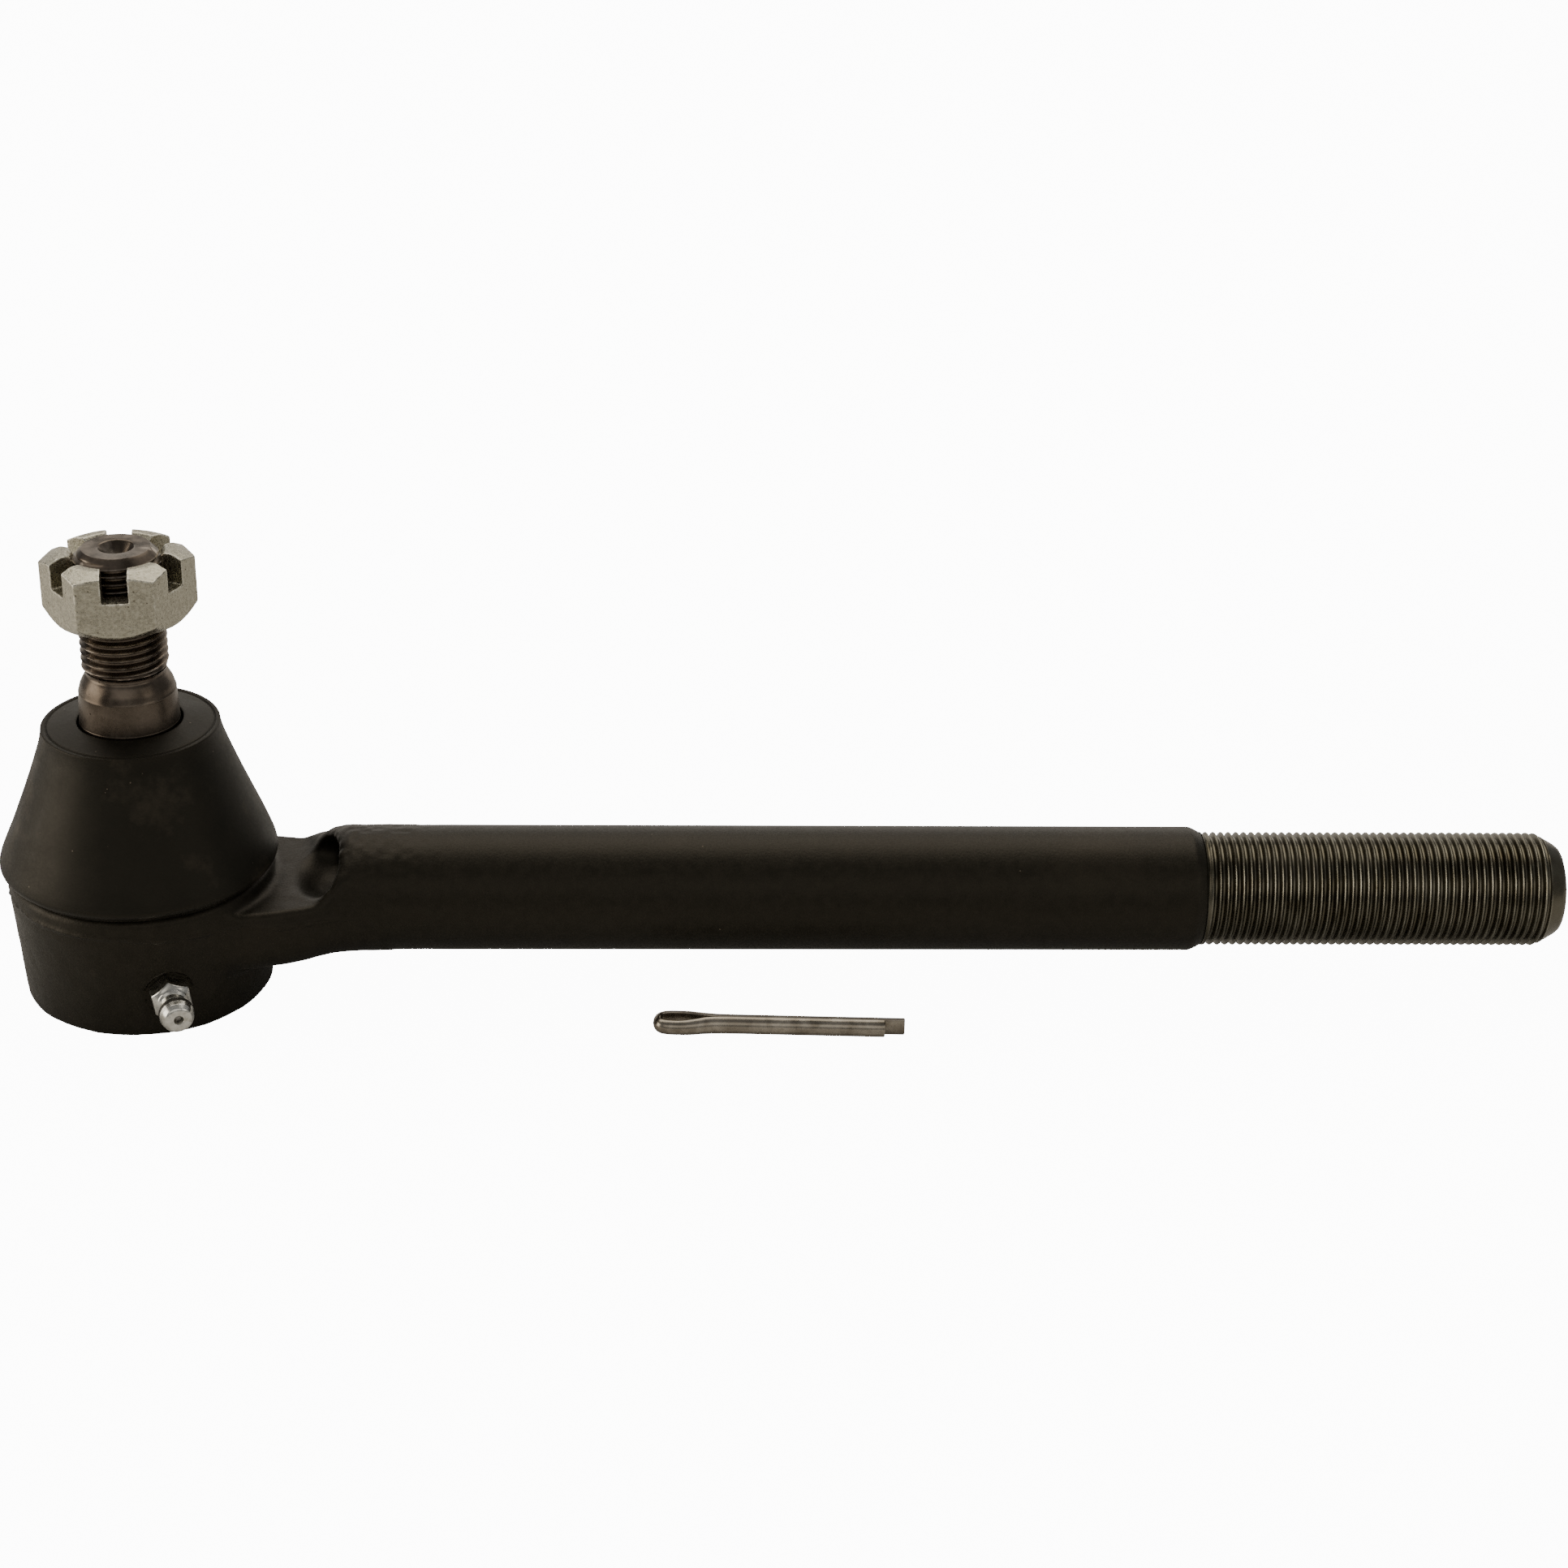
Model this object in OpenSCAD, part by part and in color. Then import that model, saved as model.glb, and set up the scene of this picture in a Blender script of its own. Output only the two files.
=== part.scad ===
// Tie rod end: a ball stud held in a forged eye with a threaded shank, a dust boot,
// a castle nut on the stud, a grease nipple in the eye and a loose split pin.
// Units are millimetres. The origin is on the stud's axis in the plane of the eye's flat
// bottom rim. +Z runs up the stud and +X runs along the shank.

/* [Part to draw] */
// Which piece to draw, or all of them

/* [Eye] */
// Height of the eye from its bottom rim to its flat top
eye_h = 25; // [24.5:0.1:25.3]
// Radius of the eye at its widest, around the parting line
eye_r = 24.8; // [24.4:0.1:25.4]
// Radius of the eye's wall low down, where the forging draft has drawn it in
eye_low_r = 23.2; // [22.6:0.1:24.2]
// Radius of the bored pocket that holds the two races
pocket_r = 16; // [15.6:0.1:16.4]

/* [Shank] */
// Height of the shank's axis above the bottom rim
shank_z = 19.5; // [19:0.1:20]
// Diameter of the plain forged shank
shank_d = 24; // [23.4:0.1:24.6]
// Major diameter of the thread on the shank's end
shank_thread_d = 22;
// Distance from the stud's axis to where the thread starts
thread_start_x = 203.6; // [180:1:240]
// Distance from the stud's axis to the shank's very end
shank_end_x = 273.4; // [260:1:300]
// Height of the flat platform on top of the neck
platform_z = 22.2; // [21.5:0.1:23]
// Width of the neck where it leaves the eye
neck_w = 34.4; // [32:0.2:36]

/* [Ball stud] */
// Radius of the ball
ball_r = 12; // [11.8:0.05:12.1]
// Height of the ball's centre above the bottom rim
ball_z = 16.5; // [16.4:0.05:16.6]
// Diameter of the stud's slender neck, just above the ball
stud_neck_d = 14.5; // [13:0.1:14.8]
// Diameter at the large end of the stud's taper
taper_d = 20; // [19.4:0.1:20]
// Height of the taper's small end above the bottom rim
taper_top_z = 62.8; // [61:0.1:64]
// Major diameter of the thread on the stud
stud_thread_d = 16;
// Height of the stud's end above the bottom rim
stud_end_z = 89.5; // [89:0.1:91]
// Diameter of the cross hole for the split pin
cross_hole_d = 4.3; // [4:0.1:4.5]

/* [Castle nut] */
// Size of the nut across two opposite flats
nut_af = 24; // [23.6:0.1:24.6]
// Height of the nut with its crown
nut_h = 12.7; // [12.4:0.1:13]
// Height of the nut's underside above the bottom rim
nut_z = 76.1; // [75.6:0.1:76.4]
// Width of the six slots
slot_w = 4.7; // [4.4:0.1:5.2]
// Depth of the six slots
slot_depth = 5.6; // [5:0.1:6.2]
// Turn of the nut about its own axis, in degrees
nut_turn = 6.5; // [0:0.5:60]

/* [Dust boot] */
// Radius of the boot's flat top
boot_top_r = 16.4; // [15.8:0.1:17]
// Height of the boot's flat top above the bottom rim
boot_top_z = 54.3; // [53.5:0.1:55.5]
// Radius of the boot at its widest
boot_wide_r = 26; // [25.8:0.1:26.8]
// Radius of the hole that the stud stands up through
boot_hole_r = 10.2; // [10.1:0.05:10.4]

/* [Grease nipple] */
// Turn of the nipple about the stud's axis, from straight ahead towards the shank
nipple_turn = 18; // [0:1:25]
// Height of the nipple's axis above the bottom rim
nipple_z = 9.2; // [9:0.1:9.8]

/* [Split pin] */
// Diameter of the pin's two half-round legs when closed together
pin_d = 3.7; // [3.5:0.1:4]
// Length from the eye of the pin to the end of its longer leg
pin_len = 46.6; // [40:1:50]
// Distance along the shank to the outside of the pin's eye
pin_x = 98.5; // [60:1:140]
// Distance from the stud's axis plane to the pin, towards the front
pin_y = -21; // [-40:1:-18]
// Turn of the pin where it lies, in degrees
pin_turn = -2.5; // [-10:0.5:3]

/* [Hidden] */
$fn = 64;

tiny = 0.02;
run_gap = 0.05;
shank_r = shank_d / 2;
shank_thread_r = shank_thread_d / 2;
stud_thread_r = stud_thread_d / 2;
nut_bore_r = stud_thread_r + 0.08;
pin_r = pin_d / 2;

metal_black = [0.09, 0.085, 0.08];
steel_grey = [0.45, 0.43, 0.40];
zinc_grey = [0.72, 0.70, 0.64];
rubber_black = [0.06, 0.055, 0.05];
resin_white = [0.86, 0.84, 0.76];
pin_grey = [0.50, 0.47, 0.42];

// Forged eye: outside of the turned body, with its draft, rounded foot and boot collar
foot_round = 0.5; // [0.3:0.1:1.4]
collar_r = 19.2;
collar_top_z = eye_h + 3.5;
groove_r = 17.9;
module eye_outside() {
    foot_steps = [for (a = [0:15:90])
        [eye_low_r - foot_round + foot_round * sin(a), foot_round - foot_round * cos(a)]];
    rotate_extrude($fn = 96)
        polygon(concat(
            [[0, 0]],
            foot_steps,
            [[eye_r - 0.2, 12],
             [eye_r, shank_z - 1],
             [eye_r, shank_z + 1],
             [eye_r - 0.4, eye_h - 1],
             [eye_r - 1.2, eye_h],
             [collar_r, eye_h],
             [collar_r, eye_h + 0.4],
             [groove_r, eye_h + 0.8],
             [groove_r, eye_h + 2.4],
             [collar_r, eye_h + 2.8],
             [collar_r - 0.6, collar_top_z],
             [0, collar_top_z]]));
}

// Pocket for the races, the cap's seat with its rolled lip, and the mouth the stud swings in
cap_r = 18;
cap_z = 0.9;
cap_t = 2.4;
lip_r = 16.8;
pocket_top_z = 22;
mouth_low_r = 11.4;
mouth_top_r = 14.4;
module eye_pocket() {
    rotate_extrude($fn = 96)
        polygon([[0, -1],
                 [lip_r, -1],
                 [lip_r, cap_z],
                 [cap_r, cap_z],
                 [cap_r, cap_z + cap_t],
                 [pocket_r, cap_z + cap_t],
                 [pocket_r, pocket_top_z],
                 [mouth_low_r, pocket_top_z],
                 [mouth_top_r, collar_top_z + 1],
                 [0, collar_top_z + 1]]);
}

// Turn and lift something drawn along X, so that it sits on the nipple's axis
module on_nipple_axis() {
    translate([0, 0, nipple_z])
        rotate([0, 0, nipple_turn - 90])
            children();
}

// Spot face, tapped hole and grease way for the nipple
spot_x = 23.4;
spot_r = 4.5;
nipple_thread_r = 3;
nipple_thread_l = 5.5;
grease_way_r = 1.5;
module nipple_hole() {
    on_nipple_axis() {
        translate([spot_x, 0, 0])
            rotate([0, 90, 0])
                cylinder(h = 8, r = spot_r);
        translate([spot_x - nipple_thread_l - 0.6, 0, 0])
            rotate([0, 90, 0])
                cylinder(h = nipple_thread_l + 1, r = nipple_thread_r + tiny);
        translate([pocket_r - 2, 0, 0])
            rotate([0, 90, 0])
                cylinder(h = 6, r = grease_way_r);
    }
}

// Shank turned about X, from its rounded shoulder on the neck to the chamfered end
shoulder_x = 34.5;
shoulder_round = 5;
step_l = 2.4;
end_chamfer_l = 4.6;
end_chamfer_r = 2.6;
module shank_bar() {
    shoulder_steps = [for (a = [0:15:90])
        [shank_r - shoulder_round + shoulder_round * sin(a),
         shoulder_x + shoulder_round - shoulder_round * cos(a)]];
    translate([0, 0, shank_z])
        rotate([0, 90, 0])
            rotate_extrude($fn = 72)
                polygon(concat(
                    [[0, shoulder_x]],
                    shoulder_steps,
                    [[shank_r, thread_start_x - step_l],
                     [shank_thread_r, thread_start_x],
                     [shank_thread_r, shank_end_x - end_chamfer_l],
                     [shank_thread_r - end_chamfer_r, shank_end_x],
                     [0, shank_end_x]]));
}

// Flattened neck: the lower part of the bar, widened towards the eye and cut off flat on top
neck_low_z = 10;
neck_start_x = 8;
neck_outline = [[10, neck_w / 2],
                [19, neck_w / 2],
                [27, neck_w / 2 - 1.9],
                [34, shank_r + 0.8],
                [40, shank_r - 0.4]];
module neck() {
    intersection() {
        translate([neck_start_x, 0, shank_z])
            rotate([0, 90, 0])
                cylinder(h = shoulder_x, r = shank_r, $fn = 72);
        translate([neck_start_x, -shank_d, 0])
            cube([shoulder_x, 2 * shank_d, platform_z]);
    }
    translate([0, 0, neck_low_z])
        linear_extrude(height = platform_z - neck_low_z)
            polygon(concat(
                [for (p = neck_outline) [p[0], -p[1]]],
                [for (k = [len(neck_outline) - 1:-1:0]) neck_outline[k]]));
}

// The one forging: eye, neck and shank
module housing() {
    color(metal_black)
        difference() {
            union() {
                eye_outside();
                neck();
                shank_bar();
            }
            eye_pocket();
            nipple_hole();
        }
}

// Steel plate under the pocket, held by the rolled lip, its middle pressed out flush with the rim
cap_flush_r = 8;
module closing_cap() {
    color(metal_black)
        rotate_extrude($fn = 72)
            polygon([[0, 0],
                     [cap_flush_r, 0],
                     [cap_flush_r + 1.5, cap_z + tiny],
                     [cap_r - tiny, cap_z + tiny],
                     [cap_r - tiny, cap_z + cap_t - tiny],
                     [cap_flush_r + 1.2, cap_z + cap_t - tiny],
                     [cap_flush_r - 0.3, cap_t],
                     [0, cap_t]]);
}

// Disc spring between the cap and the lower race
spring_low_z = cap_z + cap_t + 0.05;
spring_top_z = 5.9;
spring_t = 1.2;
module preload_spring() {
    color(steel_grey)
        rotate_extrude($fn = 72)
            polygon([[9.6, spring_top_z - spring_t],
                     [14.6, spring_low_z],
                     [15.2, spring_low_z],
                     [15.2, spring_low_z + 0.3],
                     [15, spring_low_z + spring_t],
                     [9.8, spring_top_z],
                     [9.4, spring_top_z],
                     [9.4, spring_top_z - spring_t + 0.3]]);
}

// Hollow ball that the races are bored to
seat_r = ball_r + run_gap;
module ball_seat() {
    translate([0, 0, ball_z])
        sphere(r = seat_r, $fn = 96);
}

// Lower race: resin cup with a grease groove around it and holes through its wall
race_r = pocket_r - run_gap;
lower_race_z = 5.95;
lower_race_top_z = 16.2;
race_groove_w = 3;
race_groove_depth = 0.8;
module lower_race() {
    color(resin_white)
        difference() {
            translate([0, 0, lower_race_z])
                cylinder(h = lower_race_top_z - lower_race_z, r = race_r, $fn = 72);
            ball_seat();
            cylinder(h = ball_z, r = 7.2);
            translate([0, 0, nipple_z - race_groove_w / 2])
                difference() {
                    cylinder(h = race_groove_w, r = race_r + 1, $fn = 72);
                    translate([0, 0, -1])
                        cylinder(h = race_groove_w + 2, r = race_r - race_groove_depth, $fn = 72);
                }
            for (turn = [0:90:270])
                rotate([0, 0, turn])
                    on_nipple_axis()
                        translate([5, 0, 0])
                            rotate([0, 90, 0])
                                cylinder(h = race_r, r = 1.2);
        }
}

// Upper race: resin ring that holds the ball down under the pocket's roof
upper_race_z = 16.8;
module upper_race() {
    color(resin_white)
        difference() {
            translate([0, 0, upper_race_z])
                cylinder(h = pocket_top_z - upper_race_z - tiny, r = race_r, $fn = 72);
            ball_seat();
            translate([0, 0, pocket_top_z - 2])
                cylinder(h = 4, r1 = 9.6, r2 = 12.6);
        }
}

// Ball stud: ball, slender neck, taper, thread relief, thread and centred end
ball_flat_z = 6.5;
flare_z = 35;
taper_low_z = 41;
taper_top_r = (taper_d - (taper_top_z - taper_low_z) / 10) / 2;
relief_r = 7.25;
relief_z = 64.4;
stud_thread_z = 66;
stud_chamfer_l = 1.5;
stud_end_r = 6.3;
cross_hole_z = 85.2;
module stud_turned() {
    neck_r = stud_neck_d / 2;
    rotate_extrude($fn = 72)
        polygon([[0, ball_z],
                 [neck_r, ball_z],
                 [neck_r, flare_z],
                 [taper_d / 2 - 0.5, taper_low_z - 1.2],
                 [taper_d / 2, taper_low_z],
                 [taper_top_r, taper_top_z - 0.6],
                 [taper_top_r - 0.5, taper_top_z + 0.3],
                 [relief_r, relief_z],
                 [relief_r, stud_thread_z - 0.5],
                 [stud_thread_r, stud_thread_z + 0.2],
                 [stud_thread_r, stud_end_z - stud_chamfer_l],
                 [stud_end_r, stud_end_z],
                 [0, stud_end_z]]);
}

module ball_stud() {
    color(steel_grey)
        difference() {
            union() {
                difference() {
                    translate([0, 0, ball_z])
                        sphere(r = ball_r, $fn = 96);
                    translate([-ball_r, -ball_r, ball_flat_z - ball_r])
                        cube([2 * ball_r, 2 * ball_r, ball_r]);
                }
                stud_turned();
            }
            translate([0, 0, stud_end_z - 3])
                cylinder(h = 3 + tiny, r1 = 1.4, r2 = 3.2);
            translate([0, 0, stud_end_z - 6])
                cylinder(h = 4, r = 1.4);
            rotate([0, 0, nut_turn + 60 - 90])
                translate([-stud_thread_d, 0, cross_hole_z])
                    rotate([0, 90, 0])
                        cylinder(h = 2 * stud_thread_d, r = cross_hole_d / 2);
        }
}

// Dust boot: bell-shaped skirt on a foot that clips into the eye's groove
boot_t = 1.8;
foot_z = eye_h + 0.08;
foot_ring_r = 20.9;
foot_wire_r = 0.7;
top_ring_r = 12.2;
top_wire_r = 0.9;
boot_lip_t = 3.4;
boot_bell = [[18.8, 46.5], [20.6, 41.5], [22.8, 36], [24.7, 31.4]];
boot_inside_z = boot_top_z - boot_lip_t - 0.6;
foot_ring_z = foot_z + 2.6;
module boot_ring(ring_r, ring_z, wire_r) {
    translate([0, 0, ring_z])
        rotate_extrude($fn = 72)
            translate([ring_r, 0])
                circle(r = wire_r, $fn = 24);
}
module dust_boot() {
    inside = concat(
        [[boot_hole_r, boot_top_z],
         [boot_hole_r, boot_top_z - boot_lip_t],
         [boot_hole_r + 1, boot_inside_z],
         [boot_top_r - 2.2, boot_inside_z],
         [boot_top_r - 1, boot_top_z - 6]],
        [for (p = boot_bell) [p[0] - boot_t, p[1]]],
        [[boot_wide_r - boot_t - 0.2, foot_z + 3],
         [boot_wide_r - boot_t - 0.8, foot_z + 1.4]]);
    foot = [[collar_r + 3.2, foot_z + 1.3],
            [collar_r + 2.4, foot_z + 2.4],
            [collar_r + 0.6, foot_z + 2.4],
            [groove_r + 0.1, foot_z + 2],
            [groove_r + 0.1, foot_z + 1],
            [collar_r + 0.1, foot_z + 0.5],
            [collar_r + 0.1, foot_z],
            [boot_wide_r - 1.6, foot_z],
            [boot_wide_r - 0.5, foot_z + 0.5],
            [boot_wide_r, foot_z + 1.5],
            [boot_wide_r - 0.3, foot_z + 3]];
    outside = concat(
        [for (k = [len(boot_bell) - 1:-1:0]) boot_bell[k]],
        [[boot_top_r + 0.7, boot_top_z - 2.9],
         [boot_top_r + 0.1, boot_top_z - 1],
         [boot_top_r - 0.6, boot_top_z]]);
    color(rubber_black)
        difference() {
            rotate_extrude($fn = 96)
                polygon(concat(inside, foot, outside));
            boot_ring(foot_ring_r, foot_ring_z, foot_wire_r + tiny);
            boot_ring(top_ring_r, boot_inside_z, top_wire_r + tiny);
        }
}

// Wire ring that keeps the boot's foot in the eye's groove
module boot_foot_ring() {
    color(steel_grey)
        boot_ring(foot_ring_r, foot_ring_z, foot_wire_r);
}

// Wire ring let into the underside of the boot's top
module boot_top_ring() {
    color(steel_grey)
        boot_ring(top_ring_r, boot_inside_z, top_wire_r);
}

// Castle nut: hexagon with turned chamfers above and below, and six slots in its crown
nut_e = nut_af / cos(30);
nut_chamfer_h = 1.9;
nut_foot_h = 2.2;
module castle_nut() {
    color(zinc_grey)
        translate([0, 0, nut_z])
            rotate([0, 0, nut_turn])
                difference() {
                    intersection() {
                        cylinder(h = nut_h, r = nut_e / 2, $fn = 6);
                        rotate_extrude($fn = 72)
                            polygon([[0, 0],
                                     [nut_af / 2 - 0.5, 0],
                                     [nut_e / 2 + 0.1, nut_foot_h],
                                     [nut_e / 2 + 0.1, nut_h - nut_chamfer_h],
                                     [nut_af / 2 - 1.6, nut_h],
                                     [0, nut_h]]);
                    }
                    translate([0, 0, -1])
                        cylinder(h = nut_h + 2, r = nut_bore_r);
                    translate([0, 0, -tiny])
                        cylinder(h = 1, r1 = nut_bore_r + 0.9, r2 = nut_bore_r);
                    translate([0, 0, nut_h - 0.8])
                        cylinder(h = 0.8 + tiny, r1 = nut_bore_r, r2 = nut_bore_r + 0.8);
                    for (side = [0:5])
                        rotate([0, 0, 30 + 60 * side])
                            translate([0, -slot_w / 2, nut_h - slot_depth])
                                cube([nut_af, slot_w, slot_depth + 1]);
                }
}

// Split pin: half-round wire bent to an eye, its two flat sides facing, one leg longer
pin_eye_r = 2.85;
pin_leg_gap = 0.06;
leg_difference = 3.8;
eye_l = 9;
module half_round(length, side) {
    rotate([0, 90, 0])
        intersection() {
            cylinder(h = length, r = pin_r, $fn = 32);
            translate([-pin_r, side > 0 ? pin_leg_gap / 2 : -pin_r, 0])
                cube([pin_d, pin_r - pin_leg_gap / 2, length]);
        }
}
pin_eye_open = 50;
pin_cheek = pin_r * 0.8;
module split_pin() {
    wire_t = pin_r - pin_leg_gap / 2;
    bend_r = pin_eye_r - wire_t / 2;
    bend_x = pin_eye_r + bend_r * cos(pin_eye_open);
    bend_y = bend_r * sin(pin_eye_open);
    legs_x = eye_l - 1.4;
    lean = atan2(bend_y - wire_t / 2, legs_x + 0.4 - bend_x);
    color(pin_grey)
        translate([pin_x, pin_y, pin_r])
            rotate([0, 0, pin_turn]) {
                translate([legs_x, 0, 0]) {
                    half_round(pin_len - legs_x, 1);
                    half_round(pin_len - legs_x - leg_difference, -1);
                }
                translate([pin_eye_r, 0, 0])
                    rotate([0, 0, pin_eye_open])
                        rotate_extrude(angle = 360 - 2 * pin_eye_open, $fn = 48)
                            translate([pin_eye_r - wire_t, -pin_cheek])
                                square([wire_t, 2 * pin_cheek]);
                for (side = [-1, 1])
                    translate([bend_x, side * bend_y, 0])
                        rotate([0, 0, -side * lean])
                            translate([-0.4, -wire_t / 2, -pin_cheek])
                                cube([5, wire_t, 2 * pin_cheek]);
            }
}

// Grease nipple: threaded tail, small hexagon, neck and rounded head, drilled right through
nipple_hex_af = 7;
nipple_hex_h = 4;
nipple_face_x = 34.2;
nipple_head_r = 3.25;
nipple_collar_r = 2.7;
nipple_neck_r = 2.3;
nipple_way_r = 1;
ball_way_r = 1.35;
ball_way_x = 24.6;
nipple_ball_r = 1.25;
nipple_ball_x = nipple_face_x - 1.5;
module nipple_body() {
    color(zinc_grey)
        on_nipple_axis()
            rotate([0, 90, 0])
                difference() {
                    union() {
                        rotate_extrude($fn = 48)
                            polygon([[0, spot_x - nipple_thread_l],
                                     [nipple_thread_r - 0.5, spot_x - nipple_thread_l],
                                     [nipple_thread_r, spot_x - nipple_thread_l + 0.5],
                                     [nipple_thread_r, spot_x + 0.5],
                                     [nipple_collar_r, spot_x + nipple_hex_h - 0.2],
                                     [nipple_collar_r, spot_x + nipple_hex_h + 0.8],
                                     [nipple_neck_r, spot_x + nipple_hex_h + 1.3],
                                     [nipple_neck_r, spot_x + nipple_hex_h + 2.3],
                                     [nipple_head_r, nipple_face_x - 3.5],
                                     [nipple_head_r, nipple_face_x - 2.2],
                                     [2.9, nipple_face_x - 0.8],
                                     [2.2, nipple_face_x],
                                     [0, nipple_face_x]]);
                        intersection() {
                            translate([0, 0, spot_x + tiny])
                                rotate([0, 0, 30])
                                    cylinder(h = nipple_hex_h, r = nipple_hex_af / 2 / cos(30), $fn = 6);
                            rotate_extrude($fn = 48)
                                polygon([[0, spot_x],
                                         [3.9, spot_x],
                                         [4.1, spot_x + 0.3],
                                         [4.1, spot_x + nipple_hex_h - 0.6],
                                         [3.3, spot_x + nipple_hex_h + tiny],
                                         [0, spot_x + nipple_hex_h + tiny]]);
                        }
                    }
                    translate([0, 0, spot_x - nipple_thread_l - 1])
                        cylinder(h = nipple_thread_l + 2, r = nipple_way_r);
                    translate([0, 0, ball_way_x])
                        cylinder(h = nipple_ball_x - ball_way_x, r = ball_way_r);
                    translate([0, 0, nipple_ball_x - tiny])
                        cylinder(h = nipple_face_x - nipple_ball_x - 0.4, r1 = ball_way_r, r2 = 0.7);
                    translate([0, 0, nipple_ball_x])
                        cylinder(h = 3, r = 0.9);
                }
}

// Check ball that closes the nipple's mouth
module nipple_ball() {
    color(steel_grey)
        on_nipple_axis()
            translate([nipple_ball_x - 0.35, 0, 0])
                sphere(r = nipple_ball_r - 0.1, $fn = 32);
}

// Coil spring that presses the check ball outwards
spring_turns = 6;
nipple_spring_r = 0.9;
nipple_wire_r = 0.2;
nipple_spring_x = 24.7;
module nipple_spring() {
    spring_len = nipple_ball_x - 0.35 - nipple_ball_r + 0.1 - nipple_spring_x + 0.2;
    color(steel_grey)
        on_nipple_axis()
            translate([nipple_spring_x, 0, 0])
                rotate([0, 90, 0])
                    linear_extrude(height = spring_len, twist = -360 * spring_turns, slices = 72, $fn = 6)
                        translate([nipple_spring_r, 0])
                            circle(r = nipple_wire_r, $fn = 6);
}

housing();
closing_cap();
preload_spring();
lower_race();
upper_race();
ball_stud();
dust_boot();
boot_foot_ring();
boot_top_ring();
castle_nut();
split_pin();
nipple_body();
nipple_ball();
nipple_spring();
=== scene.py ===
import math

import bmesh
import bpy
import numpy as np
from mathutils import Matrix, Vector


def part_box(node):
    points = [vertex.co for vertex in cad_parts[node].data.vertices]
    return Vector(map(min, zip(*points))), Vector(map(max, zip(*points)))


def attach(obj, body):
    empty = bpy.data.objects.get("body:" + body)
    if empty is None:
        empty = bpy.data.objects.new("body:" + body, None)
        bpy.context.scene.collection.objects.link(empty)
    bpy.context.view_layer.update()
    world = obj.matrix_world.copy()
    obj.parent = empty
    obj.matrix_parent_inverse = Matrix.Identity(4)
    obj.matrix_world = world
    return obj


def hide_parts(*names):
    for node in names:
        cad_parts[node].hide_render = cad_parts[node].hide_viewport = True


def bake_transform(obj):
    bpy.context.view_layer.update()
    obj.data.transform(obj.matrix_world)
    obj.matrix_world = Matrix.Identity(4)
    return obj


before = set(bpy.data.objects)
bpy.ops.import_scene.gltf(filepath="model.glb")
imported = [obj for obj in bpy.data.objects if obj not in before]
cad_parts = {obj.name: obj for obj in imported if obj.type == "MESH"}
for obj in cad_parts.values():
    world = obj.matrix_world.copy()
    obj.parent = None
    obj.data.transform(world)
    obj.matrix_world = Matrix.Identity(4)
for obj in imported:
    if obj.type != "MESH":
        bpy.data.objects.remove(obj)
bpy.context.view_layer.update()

# %% [markdown]
# Tie rod end, made to fit its solid model. The solid model says where every piece is and
# how it moves. Blender adds what a lathe, a forging die and a rubber mould leave behind:
# real threads, soft fillets, a parting line, and the finish of each metal. Such a part is
# drawn in millimetres, so its lengths below are in millimetres, and MM turns them into
# metres.

MM = 0.001

# %% [markdown]
# Three ways of making a surface cover the whole part. A lathe turns a profile about an
# axis, and can cut a thread while it does. A skin is wrapped over a formula for distance,
# which gives the soft joins of a forging. A sweep carries a section along a path, as wire
# is bent. All three end in the same step: a list of points and a list of quads become a
# mesh. Points that fall together are welded, so that no crack or zero-sized face is left.

# %% Helper: points and quads into a mesh object
def mesh_object(name, points, quads, sharp=35.0):
    """A piece with smooth shading, except at edges sharper than the angle sharp."""
    mesh = bpy.data.meshes.new(name)
    mesh.vertices.add(len(points))
    mesh.vertices.foreach_set("co", (np.asarray(points, float) * MM).ravel())
    mesh.loops.add(quads.size)
    mesh.loops.foreach_set("vertex_index", quads.astype(np.int32).ravel())
    mesh.polygons.add(len(quads))
    mesh.polygons.foreach_set("loop_start", np.arange(0, quads.size, 4, dtype=np.int32))
    mesh.update(calc_edges=True)
    mesh.validate()
    piece = bpy.data.objects.new(name, mesh)
    bpy.context.scene.collection.objects.link(piece)
    weld(piece)
    mesh.shade_smooth()
    if sharp:
        mesh.set_sharp_from_angle(angle=math.radians(sharp))
    print(name, len(mesh.vertices), "points")
    return piece


def weld(piece, gap=1e-7):
    bm = bmesh.new()
    bm.from_mesh(piece.data)
    bmesh.ops.remove_doubles(bm, verts=bm.verts, dist=gap)
    bmesh.ops.dissolve_degenerate(bm, dist=gap, edges=bm.edges)
    bmesh.ops.recalc_face_normals(bm, faces=bm.faces)
    bm.to_mesh(piece.data)
    bm.free()
    piece.data.update()

# %% [markdown]
# A drawing gives a turned piece as straight lines. A real lathe tool leaves a small
# radius at every corner, and that radius is what catches the light. So each profile is a
# list of points, each with its own corner radius if it needs one, and is rounded before
# it is turned.

# %% Helper: round the corners of a profile
def rounded(profile, radius=0.3, steps=3):
    """The profile (along, radius, own corner radius) with a short curve at every inner corner."""
    pts = [np.array(p[:2], float) for p in profile]
    out = [pts[0]]
    for k in range(1, len(pts) - 1):
        before, corner, after = pts[k - 1], pts[k], pts[k + 1]
        own = profile[k][2] if len(profile[k]) > 2 else radius
        behind, beyond = np.linalg.norm(before - corner), np.linalg.norm(after - corner)
        reach = min(own, 0.45 * behind, 0.45 * beyond)
        if reach < 0.02:
            out.append(corner)
            continue
        start = corner + (before - corner) / behind * reach
        end = corner + (after - corner) / beyond * reach
        for s in np.linspace(0, 1, steps + 1):
            out.append((1 - s) ** 2 * start + 2 * s * (1 - s) * corner + s ** 2 * end)
    out.append(pts[-1])
    return np.array(out)


print("a right corner becomes", len(rounded([(0, 0), (1, 0), (1, 1)])), "points")

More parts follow.
